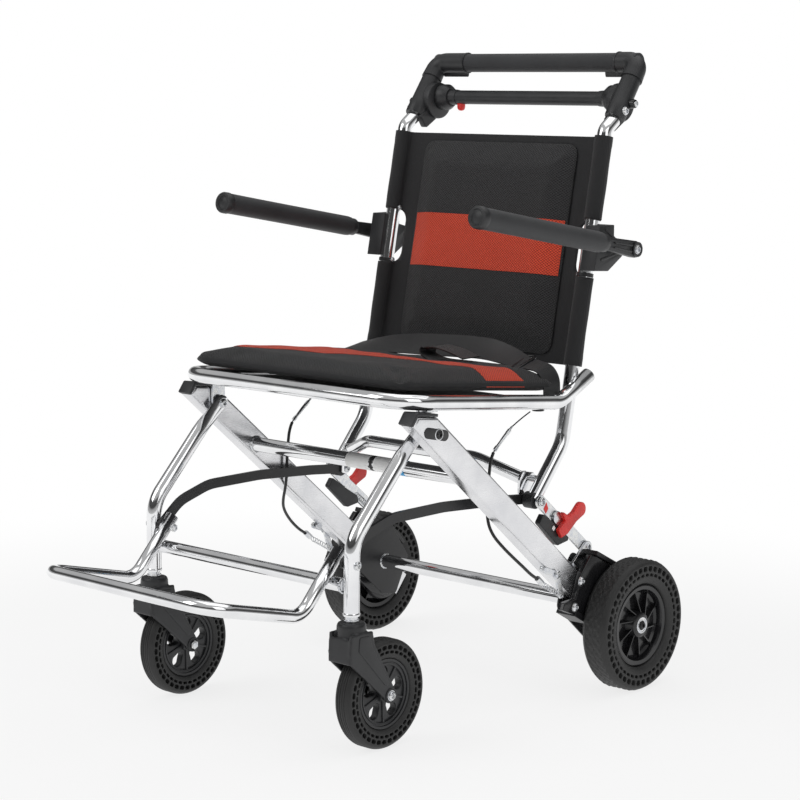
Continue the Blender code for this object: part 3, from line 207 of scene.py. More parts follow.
class Finish:
    """A material with a Principled shader, and short ways to add nodes to it."""

    def __init__(self, name, colour, roughness, metallic=0.0, **sockets):
        self.made = bpy.data.materials.new(name)
        self.made.use_nodes = True
        self.tree = self.made.node_tree
        self.shader = self.tree.nodes["Principled BSDF"]
        self.shader.inputs["Base Color"].default_value = (*colour, 1.0)
        self.shader.inputs["Roughness"].default_value = roughness
        self.shader.inputs["Metallic"].default_value = metallic
        for socket, value in sockets.items():
            self.shader.inputs[socket.replace("_", " ")].default_value = value

    def add(self, kind, inputs=(), **settings):
        node = self.tree.nodes.new("ShaderNode" + kind)
        for name, value in settings.items():
            setattr(node, name, value)
        for socket, value in dict(inputs).items():
            if isinstance(value, bpy.types.NodeSocket):
                self.tree.links.new(value, node.inputs[socket])
            else:
                node.inputs[socket].default_value = value
        return node

    def place(self, scale, turn=(0.0, 0.0, 0.0), source="Object"):
        """Coordinates turned and scaled, from the piece's own rest place or from its UV map."""
        coordinates = self.add("TexCoord").outputs[source]
        inputs = {"Vector": coordinates, "Rotation": turn, "Scale": scale}
        return self.add("Mapping", inputs).outputs["Vector"]

    def ramp(self, value, *stops):
        node = self.add("ValToRGB", {"Fac": value})
        elements = node.color_ramp.elements
        while len(elements) < len(stops):
            elements.new(0.5)
        for element, (position, colour) in zip(elements, stops):
            element.position = position
            element.color = (*colour, 1.0) if len(colour) == 3 else colour
        return node.outputs["Color"]

    def spread(self, value, low, high):
        """A 0 to 1 value mapped to the range from low to high."""
        inputs = {"Value": value, "To Min": low, "To Max": high}
        return self.add("MapRange", inputs).outputs["Result"]

    def noise(self, place, scale, detail=4.0):
        return self.add("TexNoise", {"Vector": place, "Scale": scale, "Detail": detail}).outputs["Fac"]

    def roughen(self, value, low, high):
        self.tree.links.new(self.spread(value, low, high), self.shader.inputs["Roughness"])

    def paint(self, colour):
        self.tree.links.new(colour, self.shader.inputs["Base Color"])

    def bump(self, height, distance, strength=1.0):
        """Adds a bump of this depth in metres, on top of any bump that is already there."""
        before = self.shader.inputs["Normal"].links
        node = self.add("Bump", {"Height": height, "Distance": distance, "Strength": strength})
        if before:
            self.tree.links.new(before[0].from_socket, node.inputs["Normal"])
        self.tree.links.new(node.outputs["Normal"], self.shader.inputs["Normal"])


def polished_metal():
    """Bright drawn tube with faint streaks."""
    finish = Finish("polished_aluminium", (0.83, 0.835, 0.845), 0.07, 1.0)
    place = finish.place((1.0, 1.0, 1.0))
    smudges = finish.noise(place, 26.0, 6.0)
    finish.roughen(smudges, 0.03, 0.14)
    finish.paint(finish.ramp(smudges, (0.3, (0.78, 0.785, 0.80)), (0.7, (0.90, 0.905, 0.91))))
    finish.bump(finish.noise(place, 9.0, 2.0), 0.0006, 0.25)
    finish.bump(finish.noise(place, 900.0, 3.0), 0.00002, 0.25)
    return finish.made


def brushed_metal():
    """Drawn aluminium whose fine lines run along the beam."""
    finish = Finish("brushed_aluminium", (0.78, 0.785, 0.80), 0.26, 1.0)
    slope = math.atan2(BEAM_TOP_REAR[1] - BEAM_TOP_FRONT[1], BEAM_TOP_REAR[0] - BEAM_TOP_FRONT[0])
    along = finish.place((60.0, 5.0, 900.0), (-slope, 0.0, 0.0))
    lines = finish.noise(along, 1.0, 3.0)
    clouds = finish.noise(finish.place((1.0, 1.0, 1.0)), 22.0, 3.0)
    finish.paint(finish.ramp(clouds, (0.3, (0.70, 0.705, 0.725)), (0.75, (0.84, 0.84, 0.85))))
    finish.roughen(lines, 0.16, 0.34)
    finish.bump(lines, 0.00004, 0.5)
    return finish.made


def zinc_metal():
    """Plated steel of bolts and straps."""
    finish = Finish("zinc_steel", (0.72, 0.73, 0.75), 0.22, 1.0)
    place = finish.place((1.0, 1.0, 1.0))
    spots = finish.noise(place, 160.0, 5.0)
    finish.paint(finish.ramp(spots, (0.35, (0.60, 0.62, 0.66)), (0.7, (0.82, 0.82, 0.80))))
    finish.roughen(spots, 0.14, 0.36)
    finish.bump(spots, 0.00015, 0.4)
    return finish.made


def moulded(name, colour, low, high, grain=700.0, depth=0.00006, **sockets):
    """A moulded plastic or rubber with a fine grain and slightly uneven gloss."""
    finish = Finish(name, colour, (low + high) / 2, 0.0, **sockets)
    place = finish.place((1.0, 1.0, 1.0))
    clouds = finish.noise(place, 34.0, 4.0)
    light = tuple(min(1.0, channel * 1.45 + 0.004) for channel in colour)
    finish.paint(finish.ramp(clouds, (0.35, colour), (0.8, light)))
    finish.roughen(clouds, low, high)
    finish.bump(finish.noise(place, grain, 2.0), depth, 0.6)
    return finish.made


def foam_grip():
    """Matt black foam with a fine grain."""
    finish = Finish("grip_foam", (0.020, 0.021, 0.023), 0.62, 0.0, Sheen_Weight=0.12, Sheen_Roughness=0.5)
    place = finish.place((1.0, 1.0, 1.0))
    cells = finish.add("TexVoronoi", {"Vector": place, "Scale": 1400.0}).outputs["Distance"]
    clouds = finish.noise(place, 18.0, 3.0)
    finish.paint(finish.ramp(clouds, (0.3, (0.016, 0.017, 0.019)), (0.75, (0.030, 0.031, 0.034))))
    finish.roughen(clouds, 0.52, 0.74)
    finish.bump(cells, 0.00012, 0.6)
    finish.bump(clouds, 0.0004, 0.3)
    return finish.made


def woven(name, dark, light, pitch, sheen=0.15, roughness=0.78):
    """A plain weave of two sets of threads, with slow wrinkles."""
    finish = Finish(name, dark, roughness, 0.0, Sheen_Weight=sheen, Sheen_Roughness=0.45)
    place = finish.place((1.0, 1.0, 1.0))
    turns = 2 * math.pi / pitch / 20.0  # a wave texture repeats every 20 / (2 pi) of its scale
    waves = []
    for direction in ("X", "Z"):
        inputs = {"Vector": place, "Scale": turns, "Distortion": 0.4, "Detail": 1.0}
        waves.append(finish.add("TexWave", inputs, bands_direction=direction).outputs["Fac"])
    inputs = {0: waves[0], 1: waves[1]}
    weave = finish.add("Math", inputs, operation="MULTIPLY").outputs["Value"]
    finish.paint(finish.ramp(weave, (0.1, dark), (0.8, light)))
    finish.bump(weave, pitch * 0.25, 0.7)
    finish.bump(finish.noise(place, 16.0, 3.0), 0.0022, 0.35)
    return finish.made


def spacer_mesh(name, thread, hole_shade, pitch=0.0036):
    """The knitted air mesh of the pads: rows of small holes set diagonally, from the UV map in metres. The
    holes' darker colour is painted shade.
    """
    finish = Finish(name, thread, 0.72, 0.0, Sheen_Weight=0.10, Sheen_Roughness=0.4)
    scale = (1 / pitch, 1.25 / pitch, 1.0)
    place = finish.place(scale, (0.0, 0.0, math.radians(45)), "UV")
    inputs = {"Vector": place, "Scale": 1.0, "Randomness": 0.0}
    cells = finish.add("TexVoronoi", inputs, voronoi_dimensions="2D").outputs["Distance"]
    # The hole colour, and the middle colour that blends towards it, paint the shade inside the mesh's holes.
    middle = tuple((a + b * 2) / 3 for a, b in zip(thread, hole_shade))
    finish.paint(finish.ramp(cells, (0.16, hole_shade), (0.34, middle), (0.52, thread)))
    finish.bump(finish.ramp(cells, (0.15, (0, 0, 0)), (0.55, (1, 1, 1))), 0.0009, 0.9)
    soft = finish.noise(finish.place((1.0, 1.0, 1.0)), 14.0, 2.0)
    finish.bump(soft, 0.002, 0.2)
    return finish.made


def webbing():
    """Belt webbing: close ribs across the strap and a lighter sheen on the yarn."""
    finish = Finish("belt_webbing", (0.012, 0.012, 0.013), 0.42, 0.0, Sheen_Weight=0.3, Sheen_Roughness=0.3)
    place = finish.place((1.0, 1.0, 1.0), (0.0, 0.0, 0.0), "UV")
    inputs = {"Vector": place, "Scale": 2 * math.pi / 0.0016 / 20.0, "Distortion": 0.2}
    ribs = finish.add("TexWave", inputs, bands_direction="Y").outputs["Fac"]
    finish.paint(finish.ramp(ribs, (0.1, (0.006, 0.006, 0.006)), (0.9, (0.024, 0.024, 0.026))))
    finish.bump(ribs, 0.0003, 0.6)
    return finish.made


BEAM_TOP_FRONT = Vector((-0.127, 0.4549))
BEAM_TOP_REAR = Vector((0.3005, 0.0976))
BEAM_NOSE = Vector((-0.1667, 0.4592))
BEAM_DEPTH = 0.0385

POLISHED = polished_metal()
BRUSHED = brushed_metal()
ZINC = zinc_metal()
PLASTIC = moulded("black_plastic", (0.016, 0.0165, 0.018), 0.34, 0.5)
GLOSS = moulded("gloss_plastic", (0.008, 0.008, 0.009), 0.12, 0.24, 300.0, 0.00002)
COATED = moulded("coated_steel", (0.010, 0.010, 0.011), 0.32, 0.46, 500.0, 0.00004)
RUBBER = moulded("tyre_rubber", (0.017, 0.017, 0.017), 0.46, 0.68, 500.0, 0.0001)
RED = moulded("red_plastic", (0.62, 0.022, 0.018), 0.3, 0.42, 500.0, 0.00004)
SHEATH = moulded("cable_sheath", (0.010, 0.010, 0.010), 0.35, 0.5, 900.0, 0.00003)
WHITE_BAND = moulded("white_band", (0.80, 0.80, 0.79), 0.4, 0.5)
BLUE_BAND = moulded("blue_band", (0.02, 0.30, 0.60), 0.4, 0.5)
FOAM = foam_grip()
CLOTH = woven("black_fabric", (0.008, 0.008, 0.009), (0.020, 0.020, 0.022), 0.0011)
# Each mesh's second colour is painted shade for its holes.
MESH_BLACK = spacer_mesh("black_mesh", (0.030, 0.030, 0.032), (0.002, 0.002, 0.002))
MESH_ORANGE = spacer_mesh("orange_mesh", (0.86, 0.085, 0.030), (0.30, 0.016, 0.005))
WEBBING = webbing()


# ------------------------------------------------------------------- shapes


def apply_all(piece):
    """Turns a piece's modifiers into its mesh."""
    bpy.context.view_layer.update()
    graph = bpy.context.evaluated_depsgraph_get()
    mesh = bpy.data.meshes.new_from_object(piece.evaluated_get(graph))
    piece.modifiers.clear()
    piece.data = mesh


def new_piece(name, mesh, material, body):
    """Wraps a mesh as a visible piece that rides on a body."""
    made = bpy.data.objects.new(name, mesh)
    bpy.context.scene.collection.objects.link(made)
    mesh.materials.clear()
    mesh.materials.append(material)
    if body:
        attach(made, body)
    return made


def from_bmesh(name, shape, material, body, angle=35):
    """Turns a bmesh into a piece, smooth but for edges sharper than an angle."""
    bmesh.ops.recalc_face_normals(shape, faces=shape.faces)
    mesh = bpy.data.meshes.new(name)
    shape.to_mesh(mesh)
    shape.free()
    mesh.shade_smooth()
    mesh.set_sharp_from_angle(angle=math.radians(angle))
    return new_piece(name, mesh, material, body)


def frames_along(route, start_normal=None):
    """A tangent and two normals at each point of a route, turning as little as they can."""
    tangents = []
    for n in range(len(route)):
        ahead = route[min(n + 1, len(route) - 1)] - route[max(n - 1, 0)]
        tangents.append(ahead.normalized())
    guide = start_normal or (Vector((1, 0, 0)) if abs(tangents[0].x) < 0.9 else Vector((0, 0, 1)))
    normal = (guide - tangents[0] * guide.dot(tangents[0])).normalized()
    frames = []
    for n, tangent in enumerate(tangents):
        if n:
            normal = tangents[n - 1].rotation_difference(tangent) @ normal
            normal = (normal - tangent * normal.dot(tangent)).normalized()
        frames.append((tangent, normal, tangent.cross(normal)))
    return frames


def add_sweep(shape, route, sizes, sides, start_normal=None, caps=True):
    """Adds a swept round or oval to a bmesh. A size is a radius, or half widths along both normals."""
    rings = []
    for n, (spot, (_tangent, first, second)) in enumerate(zip(route, frames_along(route, start_normal))):
        size = sizes[n] if isinstance(sizes, list) else sizes
        wide, high = size if isinstance(size, tuple) else (size, size)
        ring = []
        for side in range(sides):
            angle = 2 * math.pi * side / sides
            ring.append(
                shape.verts.new(spot + first * math.cos(angle) * wide + second * math.sin(angle) * high)
            )
        rings.append(ring)
    for before, after in zip(rings, rings[1:]):
        for side in range(sides):
            other = (side + 1) % sides
            shape.faces.new((before[side], before[other], after[other], after[side]))
    if caps:
        shape.faces.new(rings[0][::-1])
        shape.faces.new(rings[-1])
    return rings


def sweep(name, route, sizes, material, body, sides=32, wall=0.0, start_normal=None):
    """A tube or bar along a route. With a wall, it is an open pipe."""
    shape = bmesh.new()
    add_sweep(shape, [Vector(spot) for spot in route], sizes, sides, start_normal, caps=not wall)
    made = from_bmesh(name, shape, material, body)
    if wall:
        solid = made.modifiers.new("wall", "SOLIDIFY")
        solid.thickness = wall
        solid.offset = -1
    return made


def add_lathe(shape, profile, centre, axis, steps, closed=False):
    """Adds a turned shape to a bmesh. The profile is (radius, distance along the axis) pairs."""
    axis = Vector(axis).normalized()
    guide = Vector((0, 0, 1)) if abs(axis.z) < 0.9 else Vector((0, 1, 0))
    first = (guide - axis * guide.dot(axis)).normalized()
    second = axis.cross(first)
    rings = []
    for radius, height in profile:
        middle = Vector(centre) + axis * height
        if radius < 1e-6:
            rings.append([shape.verts.new(middle)])
            continue
        ring = []
        for step in range(steps):
            angle = 2 * math.pi * step / steps
            ring.append(
                shape.verts.new(middle + (first * math.cos(angle) + second * math.sin(angle)) * radius)
            )
        rings.append(ring)
    pairs = list(zip(rings, rings[1:]))
    if closed:
        pairs.append((rings[-1], rings[0]))
    for before, after in pairs:
        for step in range(steps):
            other = (step + 1) % steps
            corners = [before[step % len(before)], before[other % len(before)]]
            corners += [after[other % len(after)], after[step % len(after)]]
            corners = list(dict.fromkeys(corners))
            if len(corners) > 2:
                shape.faces.new(corners)
    return rings


def lathe(name, profile, centre, axis, material, body, steps=48, closed=False):
    """A turned piece from a profile of (radius, distance along the axis)."""
    shape = bmesh.new()
    add_lathe(shape, profile, centre, axis, steps, closed)
    return from_bmesh(name, shape, material, body)


def plate(name, outlines, x, thickness, material, body, edge=0.0006, rounding=3):
    """A flat piece standing in the side view at x: the first outline less the others."""
    curve = bpy.data.curves.new(name, "CURVE")
    curve.dimensions = "2D"
    curve.fill_mode = "BOTH"
    curve.extrude = thickness / 2 - edge
    curve.bevel_depth = edge
    curve.bevel_resolution = rounding
    curve.offset = -edge
    for outline in outlines:
        spline = curve.splines.new("POLY")
        spline.points.add(len(outline) - 1)
        for point, spot in zip(spline.points, outline):
            point.co = (spot[0], spot[1], 0.0, 1.0)
        spline.use_cyclic_u = True
    turn = Matrix.Rotation(math.pi / 2, 4, "Z") @ Matrix.Rotation(math.pi / 2, 4, "X")
    return flat_piece(name, curve, Matrix.Translation((x, SHIFT, 0.0)) @ turn, material, body)


def flat_piece(name, curve, place, material, body):
    """A mesh piece from a 2D curve, standing at a place."""
    source = bpy.data.objects.new(name + "_outline", curve)
    bpy.context.scene.collection.objects.link(source)
    bpy.context.view_layer.update()
    graph = bpy.context.evaluated_depsgraph_get()
    mesh = bpy.data.meshes.new_from_object(source.evaluated_get(graph))
    bpy.data.objects.remove(source)
    mesh.transform(place)
    shape = bmesh.new()
    shape.from_mesh(mesh)
    bpy.data.meshes.remove(mesh)
    bmesh.ops.remove_doubles(shape, verts=shape.verts, dist=1e-6)
    return from_bmesh(name, shape, material, body)


def merged(name, pieces, body):
    """Several pieces of one material joined into one object."""
    shape = bmesh.new()
    material = pieces[0].data.materials[0]
    graph = bpy.context.evaluated_depsgraph_get()
    for piece in pieces:
        shape.from_mesh(piece.evaluated_get(graph).to_mesh())
        bpy.data.objects.remove(piece)
    return from_bmesh(name, shape, material, body)


def bolt(name, x, spot, sign, radius, body, height=0.0035, material=None):
    """A round-headed socket bolt on a washer, whose head points out along X."""
    profile = [
        (0.0, height * 0.35),
        (radius * 0.36, height * 0.35),
        (radius * 0.40, height * 0.92),
        (radius * 0.50, height),
        (radius * 0.74, height * 0.86),
        (radius * 0.88, height * 0.55),
        (radius * 0.90, 0.0009),
        (radius * 1.06, 0.0008),
        (radius * 1.08, 0.0),
        (0.0, 0.0),
    ]
    return lathe(name, profile, side_view(x, spot), (sign, 0, 0), material or ZINC, body, 24)


def hex_nut(name, x, spot, sign, radius, body, height=0.005):
    """A lock nut with a domed collar."""
    shape = bmesh.new()
    centre = side_view(x, spot)
    profile = [
        (0.0, 0.0), (radius, 0.0), (radius, height * 0.72), (radius * 0.86, height * 0.78),
        (0.0, height * 0.78),
    ]
    add_lathe(shape, profile, centre, (sign, 0, 0), 6)
    dome = [
        (radius * 0.74, height * 0.7), (radius * 0.70, height * 0.95), (radius * 0.55, height),
        (0.0, height),
    ]
    add_lathe(shape, dome, centre, (sign, 0, 0), 20)
    return from_bmesh(name, shape, ZINC, body, 30)


def dress(node, material, edge=0.0, angle=40):
    """Gives a CAD node a finish, smooth shading and, if asked, softly rounded edges."""
    piece = frame["nodes"][node]
    mesh = piece.data
    mesh.materials.clear()
    mesh.materials.append(material)
    for name in ("custom_normal", "sharp_face", "sharp_edge"):
        if name in mesh.attributes:
            mesh.attributes.remove(mesh.attributes[name])
    weld = piece.modifiers.new("weld", "WELD")
    weld.merge_threshold = 0.00001
    if edge:
        bevel = piece.modifiers.new("edges", "BEVEL")
        bevel.width = edge
        bevel.segments = 2
        bevel.limit_method = "ANGLE"
        bevel.angle_limit = math.radians(angle)
        bevel.harden_normals = True
    return piece


def weld_bead(name, centre, axis, radius, body, thickness=0.0016):
    """The uneven ring of weld metal where a tube meets a plate."""
    shape = bmesh.new()
    axis = Vector(axis).normalized()
    guide = Vector((0, 0, 1)) if abs(axis.z) < 0.9 else Vector((0, 1, 0))
    first = (guide - axis * guide.dot(axis)).normalized()
    second = axis.cross(first)
    steps = 48
    route, sizes = [], []
    for step in range(steps + 1):
        angle = 2 * math.pi * step / steps
        route.append(Vector(centre) + (first * math.cos(angle) + second * math.sin(angle)) * radius)
        sizes.append(thickness * (1 + 0.22 * math.sin(angle * 12)))
    add_sweep(shape, route, sizes, 8, axis)
    return from_bmesh(name, shape, ZINC, body)


# --------------------------------------------------------- camera and studio


def aim_camera():
    """The viewpoint is in front, to the occupant's left and a little above the seat."""
    turn, tilt, roll = math.radians(42.70), math.radians(8.14), math.radians(0.274)
    ahead = Vector((-math.sin(turn) * math.cos(tilt), math.cos(turn) * math.cos(tilt), -math.sin(tilt)))
    right = Vector((math.cos(turn), math.sin(turn), 0.0))
    up = right.cross(ahead)
    rolled_right = right * math.cos(roll) + up * math.sin(roll)
    rolled_up = up * math.cos(roll) - right * math.sin(roll)
    data = bpy.data.cameras.new("camera")
    data.sensor_width = 36.0
    data.lens = 99.6
    camera = bpy.data.objects.new("camera", data)
    bpy.context.scene.collection.objects.link(camera)
    place = Matrix((rolled_right, rolled_up, -ahead)).transposed().to_4x4()
    place.translation = Vector((2.2241, -2.2973, 0.9060))
    camera.matrix_world = place
    bpy.context.scene.camera = camera


FLOOR_GLOW = 0.80  # how much of the floor under the chair is plain white light
FLOOR_FADE = (0.7, 1.6)  # from how far out to how far out the rest of it becomes so


def whiten(material, start, end):
    """Lets a floor's colour run into plain white light with the distance from the middle."""
    tree = material.node_tree
    output = next(node for node in tree.nodes if node.type == "OUTPUT_MATERIAL")
    shader = output.inputs["Surface"].links[0].from_node
    place = tree.nodes.new("ShaderNodeTexCoord")
    away = tree.nodes.new("ShaderNodeVectorMath")
    away.operation = "LENGTH"
    share = tree.nodes.new("ShaderNodeMapRange")
    share.interpolation_type = "SMOOTHSTEP"
    share.inputs["From Min"].default_value = start
    share.inputs["From Max"].default_value = end
    share.inputs["To Min"].default_value = FLOOR_GLOW
    glow = tree.nodes.new("ShaderNodeEmission")
    glow.inputs["Strength"].default_value = 1.0
    mixer = tree.nodes.new("ShaderNodeMixShader")
    tree.links.new(place.outputs["Object"], away.inputs[0])
    tree.links.new(away.outputs["Value"], share.inputs["Value"])
    tree.links.new(share.outputs["Result"], mixer.inputs["Fac"])
    tree.links.new(shader.outputs[0], mixer.inputs[1])
    tree.links.new(glow.outputs["Emission"], mixer.inputs[2])
    tree.links.new(mixer.outputs["Shader"], output.inputs["Surface"])


def light_studio():
    """A pale floor, three soft lights and a surrounding that polished tubes can mirror."""
    bpy.ops.mesh.primitive_circle_add(
        vertices=96, radius=14.0, fill_type="NGON", location=(0.0, 0.0, -0.0004)
    )
    floor = bpy.context.object
    floor.name = "floor"
    pale = Finish("pale_floor", (0.93, 0.93, 0.93), 0.9)
    floor.data.materials.append(pale.made)
    whiten(pale.made, *FLOOR_FADE)
    for name, place, size, power in (
        ("key", (-1.6, -3.0, 3.2), 2.6, 44.0),
        ("side", (3.4, -0.6, 2.2), 2.2, 17.0),
        ("top", (0.3, 0.8, 3.6), 3.4, 30.0),
    ):
        data = bpy.data.lights.new(name, "AREA")
        data.size = size
        data.energy = power
        lamp = bpy.data.objects.new(name, data)
        bpy.context.scene.collection.objects.link(lamp)
        lamp.location = place
        lamp.rotation_mode = "QUATERNION"
        lamp.rotation_quaternion = (Vector((0, 0, 0.45)) - Vector(place)).to_track_quat("-Z", "Y")
    world = bpy.data.worlds.new("studio")
    bpy.context.scene.world = world
    world.use_nodes = True
    tree = world.node_tree
    tree.nodes.clear()
    output = tree.nodes.new("ShaderNodeOutputWorld")
    mixer = tree.nodes.new("ShaderNodeMixShader")
    path = tree.nodes.new("ShaderNodeLightPath")
    seen = tree.nodes.new("ShaderNodeBackground")
    seen.inputs["Color"].default_value = (1.0, 1.0, 1.0, 1.0)
    mirrored = tree.nodes.new("ShaderNodeBackground")
    ramp = tree.nodes.new("ShaderNodeValToRGB")
    height = tree.nodes.new("ShaderNodeSeparateXYZ")
    direction = tree.nodes.new("ShaderNodeTexCoord")
    rise = tree.nodes.new("ShaderNodeMapRange")
    rise.inputs["From Min"].default_value = -1.0
    stops = (
        (0.50, 0.95),
        (0.56, 0.70),
        (0.60, 0.10),
        (0.72, 0.16),
        (0.76, 0.85),
        (1.00, 1.0),
    )
    elements = ramp.color_ramp.elements
    while len(elements) < len(stops):
        elements.new(0.5)
    for element, (position, level) in zip(elements, stops):
        element.position = position
        element.color = (level, level, level, 1.0)
    tree.links.new(direction.outputs["Generated"], height.inputs["Vector"])
    tree.links.new(height.outputs["Z"], rise.inputs["Value"])
    tree.links.new(rise.outputs["Result"], ramp.inputs["Fac"])
    tree.links.new(ramp.outputs["Color"], mirrored.inputs["Color"])
    mirrored.inputs["Strength"].default_value = 0.5
    tree.links.new(path.outputs["Is Camera Ray"], mixer.inputs["Fac"])
    tree.links.new(mirrored.outputs["Background"], mixer.inputs[1])
    tree.links.new(seen.outputs["Background"], mixer.inputs[2])
    tree.links.new(mixer.outputs["Shader"], output.inputs["Surface"])
    bpy.context.scene.view_settings.view_transform = "Standard"


aim_camera()
light_studio()


# -------------------------------------------------------------- fixed frame


def beam_outline():
    """The beam's corners, from its lower front one round under the beam and back over the top."""
    top = (BEAM_TOP_REAR - BEAM_TOP_FRONT).normalized()
    down = -across(top)
    front = BEAM_TOP_FRONT + (BEAM_NOSE - BEAM_TOP_FRONT).project(top)
    return [
        front + down * BEAM_DEPTH,
        BEAM_TOP_REAR + down * BEAM_DEPTH,
        BEAM_TOP_REAR,
        BEAM_TOP_FRONT,
        BEAM_NOSE,
    ]


def build_beam(side, sign):
    """The drawn aluminium beam, its lug, the slot and bolt on its outer face, and a dark sheet of painted
    shade in its open end.
    """
    x = sign * (BEAM_HALF - BEAM_WIDTH / 2)
    outline = beam_outline()
    beam = plate("beam_" + side, [outline], x, BEAM_WIDTH, BRUSHED, "frame", 0.0042, 6)
    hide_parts("side_beam_" + side)
    along = (BEAM_TOP_REAR - BEAM_TOP_FRONT).normalized()
    up = across(along)
    foot = BEAM_TOP_FRONT + (LINK_LOW - BEAM_TOP_FRONT).project(along)
    lug_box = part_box("lower_link_" + side)
    lug_x = sign * (max(abs(lug_box[0].x), abs(lug_box[1].x)) + 0.0031)
    ear = [LINK_LOW + across(up) * 0.0, *capsule(foot - along * 0.004, LINK_LOW, 0.0125, 0.0098)]
    plate("lug_" + side, [ear[1:]], lug_x, 0.0045, ZINC, "frame", 0.0005)
    base = [
        foot - along * 0.024, foot + along * 0.020, foot + along * 0.020 + up * 0.004,
        foot - along * 0.024 + up * 0.004,
    ]
    plate("lug_base_" + side, [base], x, BEAM_WIDTH * 0.8, ZINC, "frame", 0.0005)
    bolt("lug_bolt_" + side, lug_x + sign * 0.002, LINK_LOW, sign, 0.0062, "frame")
    face = sign * BEAM_HALF
    front = FRONT_PIVOT + Vector((-0.0215, 0.0042))
    rear = FRONT_PIVOT + Vector((0.0125, -0.0028))
    plate(
        "slot_" + side, [capsule(front, rear, 0.0078)], face + sign * 0.0002, 0.0012, GLOSS, "frame", 0.0002
    )
    washer = [(0.0, 0.0002), (0.0082, 0.0002), (0.0084, 0.0012), (0.0066, 0.0016), (0.0, 0.0016)]
    lathe("slot_washer_" + side, washer, side_view(face, FRONT_PIVOT), (sign, 0, 0), ZINC, "frame", 32)
    head = bolt("slot_bolt_" + side, face + sign * 0.0012, FRONT_PIVOT, sign, 0.0064, "frame", 0.0030, GLOSS)
    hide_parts("front_pivot_bolt_" + side)
    inner = sign * 0.1969
    bolt("pivot_head_" + side, inner, FRONT_PIVOT, -sign, 0.0072, "frame", 0.0042)
    dress("beam_cap_" + side, PLASTIC, 0.0009)
    # A dark sheet set flush into the beam's open end: painted shade standing in for the dark hollow inside
    # the beam.
    end_low, end_high = outline[1], outline[2]
    middle = (end_low + end_high) / 2
    half = (end_high - end_low).length / 2 - 0.005
    direction = (end_high - end_low).normalized()
    open_end_shade = [
        middle - direction * half - along * 0.0004,
        middle + direction * half - along * 0.0004,
        middle + direction * half + along * 0.0006,
        middle - direction * half + along * 0.0006,
    ]
    plate("beam_open_end_shade_" + side, [open_end_shade], x, BEAM_WIDTH - 0.008, COATED, "frame", 0.0002)


def cross_tube(name, spot, radius, half_width, body, node=None):
    """A straight tube between both sides with a weld bead at each end."""
    route = [
        side_view(-half_width, spot), side_view(-half_width * 0.3, spot), side_view(half_width * 0.3, spot)
    ]
    route.append(side_view(half_width, spot))
    made = sweep(name, route, radius, POLISHED, body, 40)
    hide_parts(node or name)
    for side, sign in SIDES:
        weld_bead(
            "weld_" + name + "_" + side, side_view(sign * (half_width - 0.001), spot), (1, 0, 0),
            radius + 0.0006, body,
        )
    return made


UPPER_CROSS = Vector((-0.045, 0.3575))
REAR_CROSS = Vector((0.2448, 0.1294))
LEG_CROSS = Vector((-0.263, 0.2355))


def build_cross_tubes():
    """The fixed cross tubes, the one between the legs and the plain bands on them."""
    cross_tube("cross_tube_upper", UPPER_CROSS, TUBE, BEAM_INNER, "frame", "upper_cross_tube")
    cross_tube("cross_tube_rear", REAR_CROSS, TUBE, BEAM_INNER, "frame", "rear_cross_tube")
    cross_tube("cross_tube_legs", LEG_CROSS, THIN_TUBE, CASTER_X - TUBE, "front_legs", "leg_cross_tube")
    bands = (
        ("plain_band_white", -0.010, 0.036, WHITE_BAND),
        ("plain_band_black", 0.038, 0.044, COATED),
        ("plain_band_pale", 0.046, 0.086, WHITE_BAND),
        ("plain_band_blue", 0.088, 0.106, BLUE_BAND),
    )
    for name, start, end, material in bands:
        profile = [(TUBE, start), (TUBE + 0.0003, start + 0.0002), (TUBE + 0.0003, end - 0.0002), (TUBE, end)]
        lathe(name, profile, side_view(0.0, UPPER_CROSS), (1, 0, 0), material, "frame", 48)


def build_front_leg(side, sign):
    """A bent tube that flattens towards its pivot, with a crimped ring above the fork's plated stem, and the
    bolt and nut that the footrest turns on.
    """
    body = "front_legs"
    bottom = Vector((STEM_Y, 0.195))
    bends = [Vector((-0.260, 0.297)), Vector((-0.163, 0.400))]
    route = rounded_route([bottom, *bends], (0.0, 0.055), 14)
    along = (bends[1] - bends[0]).normalized()
    to_pivot = (FRONT_PIVOT - bends[1]).normalized()
    tail = [bends[1] + (FRONT_PIVOT - bends[1]) * share for share in (0.25, 0.55, 0.8)]
    round_end = [FRONT_PIVOT + to_pivot * 0.0118 * share for share in (0.0, 0.45, 0.75, 0.93, 1.0)]
    spots = [*route[:-1], bends[1] - along * 0.012, bends[1], *tail, *round_end]
    widths = [(TUBE, TUBE)] * (len(route) - 1)
    widths += [(0.0108, 0.0111), (0.0092, 0.0114), (0.0068, 0.0117), (0.0048, 0.0119), (0.0042, 0.0120)]
    for share in (0.0, 0.45, 0.75, 0.93, 1.0):
        widths.append(
            (0.0040 if share < 1 else 0.0032, max(0.0012, 0.012 * math.sqrt(max(0.0, 1 - share**2))))
        )
    flat_x = CASTER_X - 0.0006
    points = [
        side_view(sign * (CASTER_X if n < len(route) else flat_x), spot) for n, spot in enumerate(spots)
    ]
    leg = sweep("leg_" + side, points, widths, POLISHED, body, 36, 0.0, Vector((1, 0, 0)))
    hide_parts("front_leg_" + side)
    ring = [(0.0100, 0.0), (0.0116, 0.0008), (0.0119, 0.0022), (0.0116, 0.0036), (0.0109, 0.0046)]
    lathe(
        "leg_ring_" + side, ring, side_view(sign * CASTER_X, (STEM_Y, 0.1952)), (0, 0, 1), POLISHED, body,
        40,
    )
    bolt("foot_bolt_" + side, sign * (CASTER_X + TUBE - 0.0012), FOOT_PIVOT, sign, 0.0066, body)
    hex_nut("foot_nut_" + side, sign * 0.1601, FOOT_PIVOT, -sign, 0.0062, "footrest")


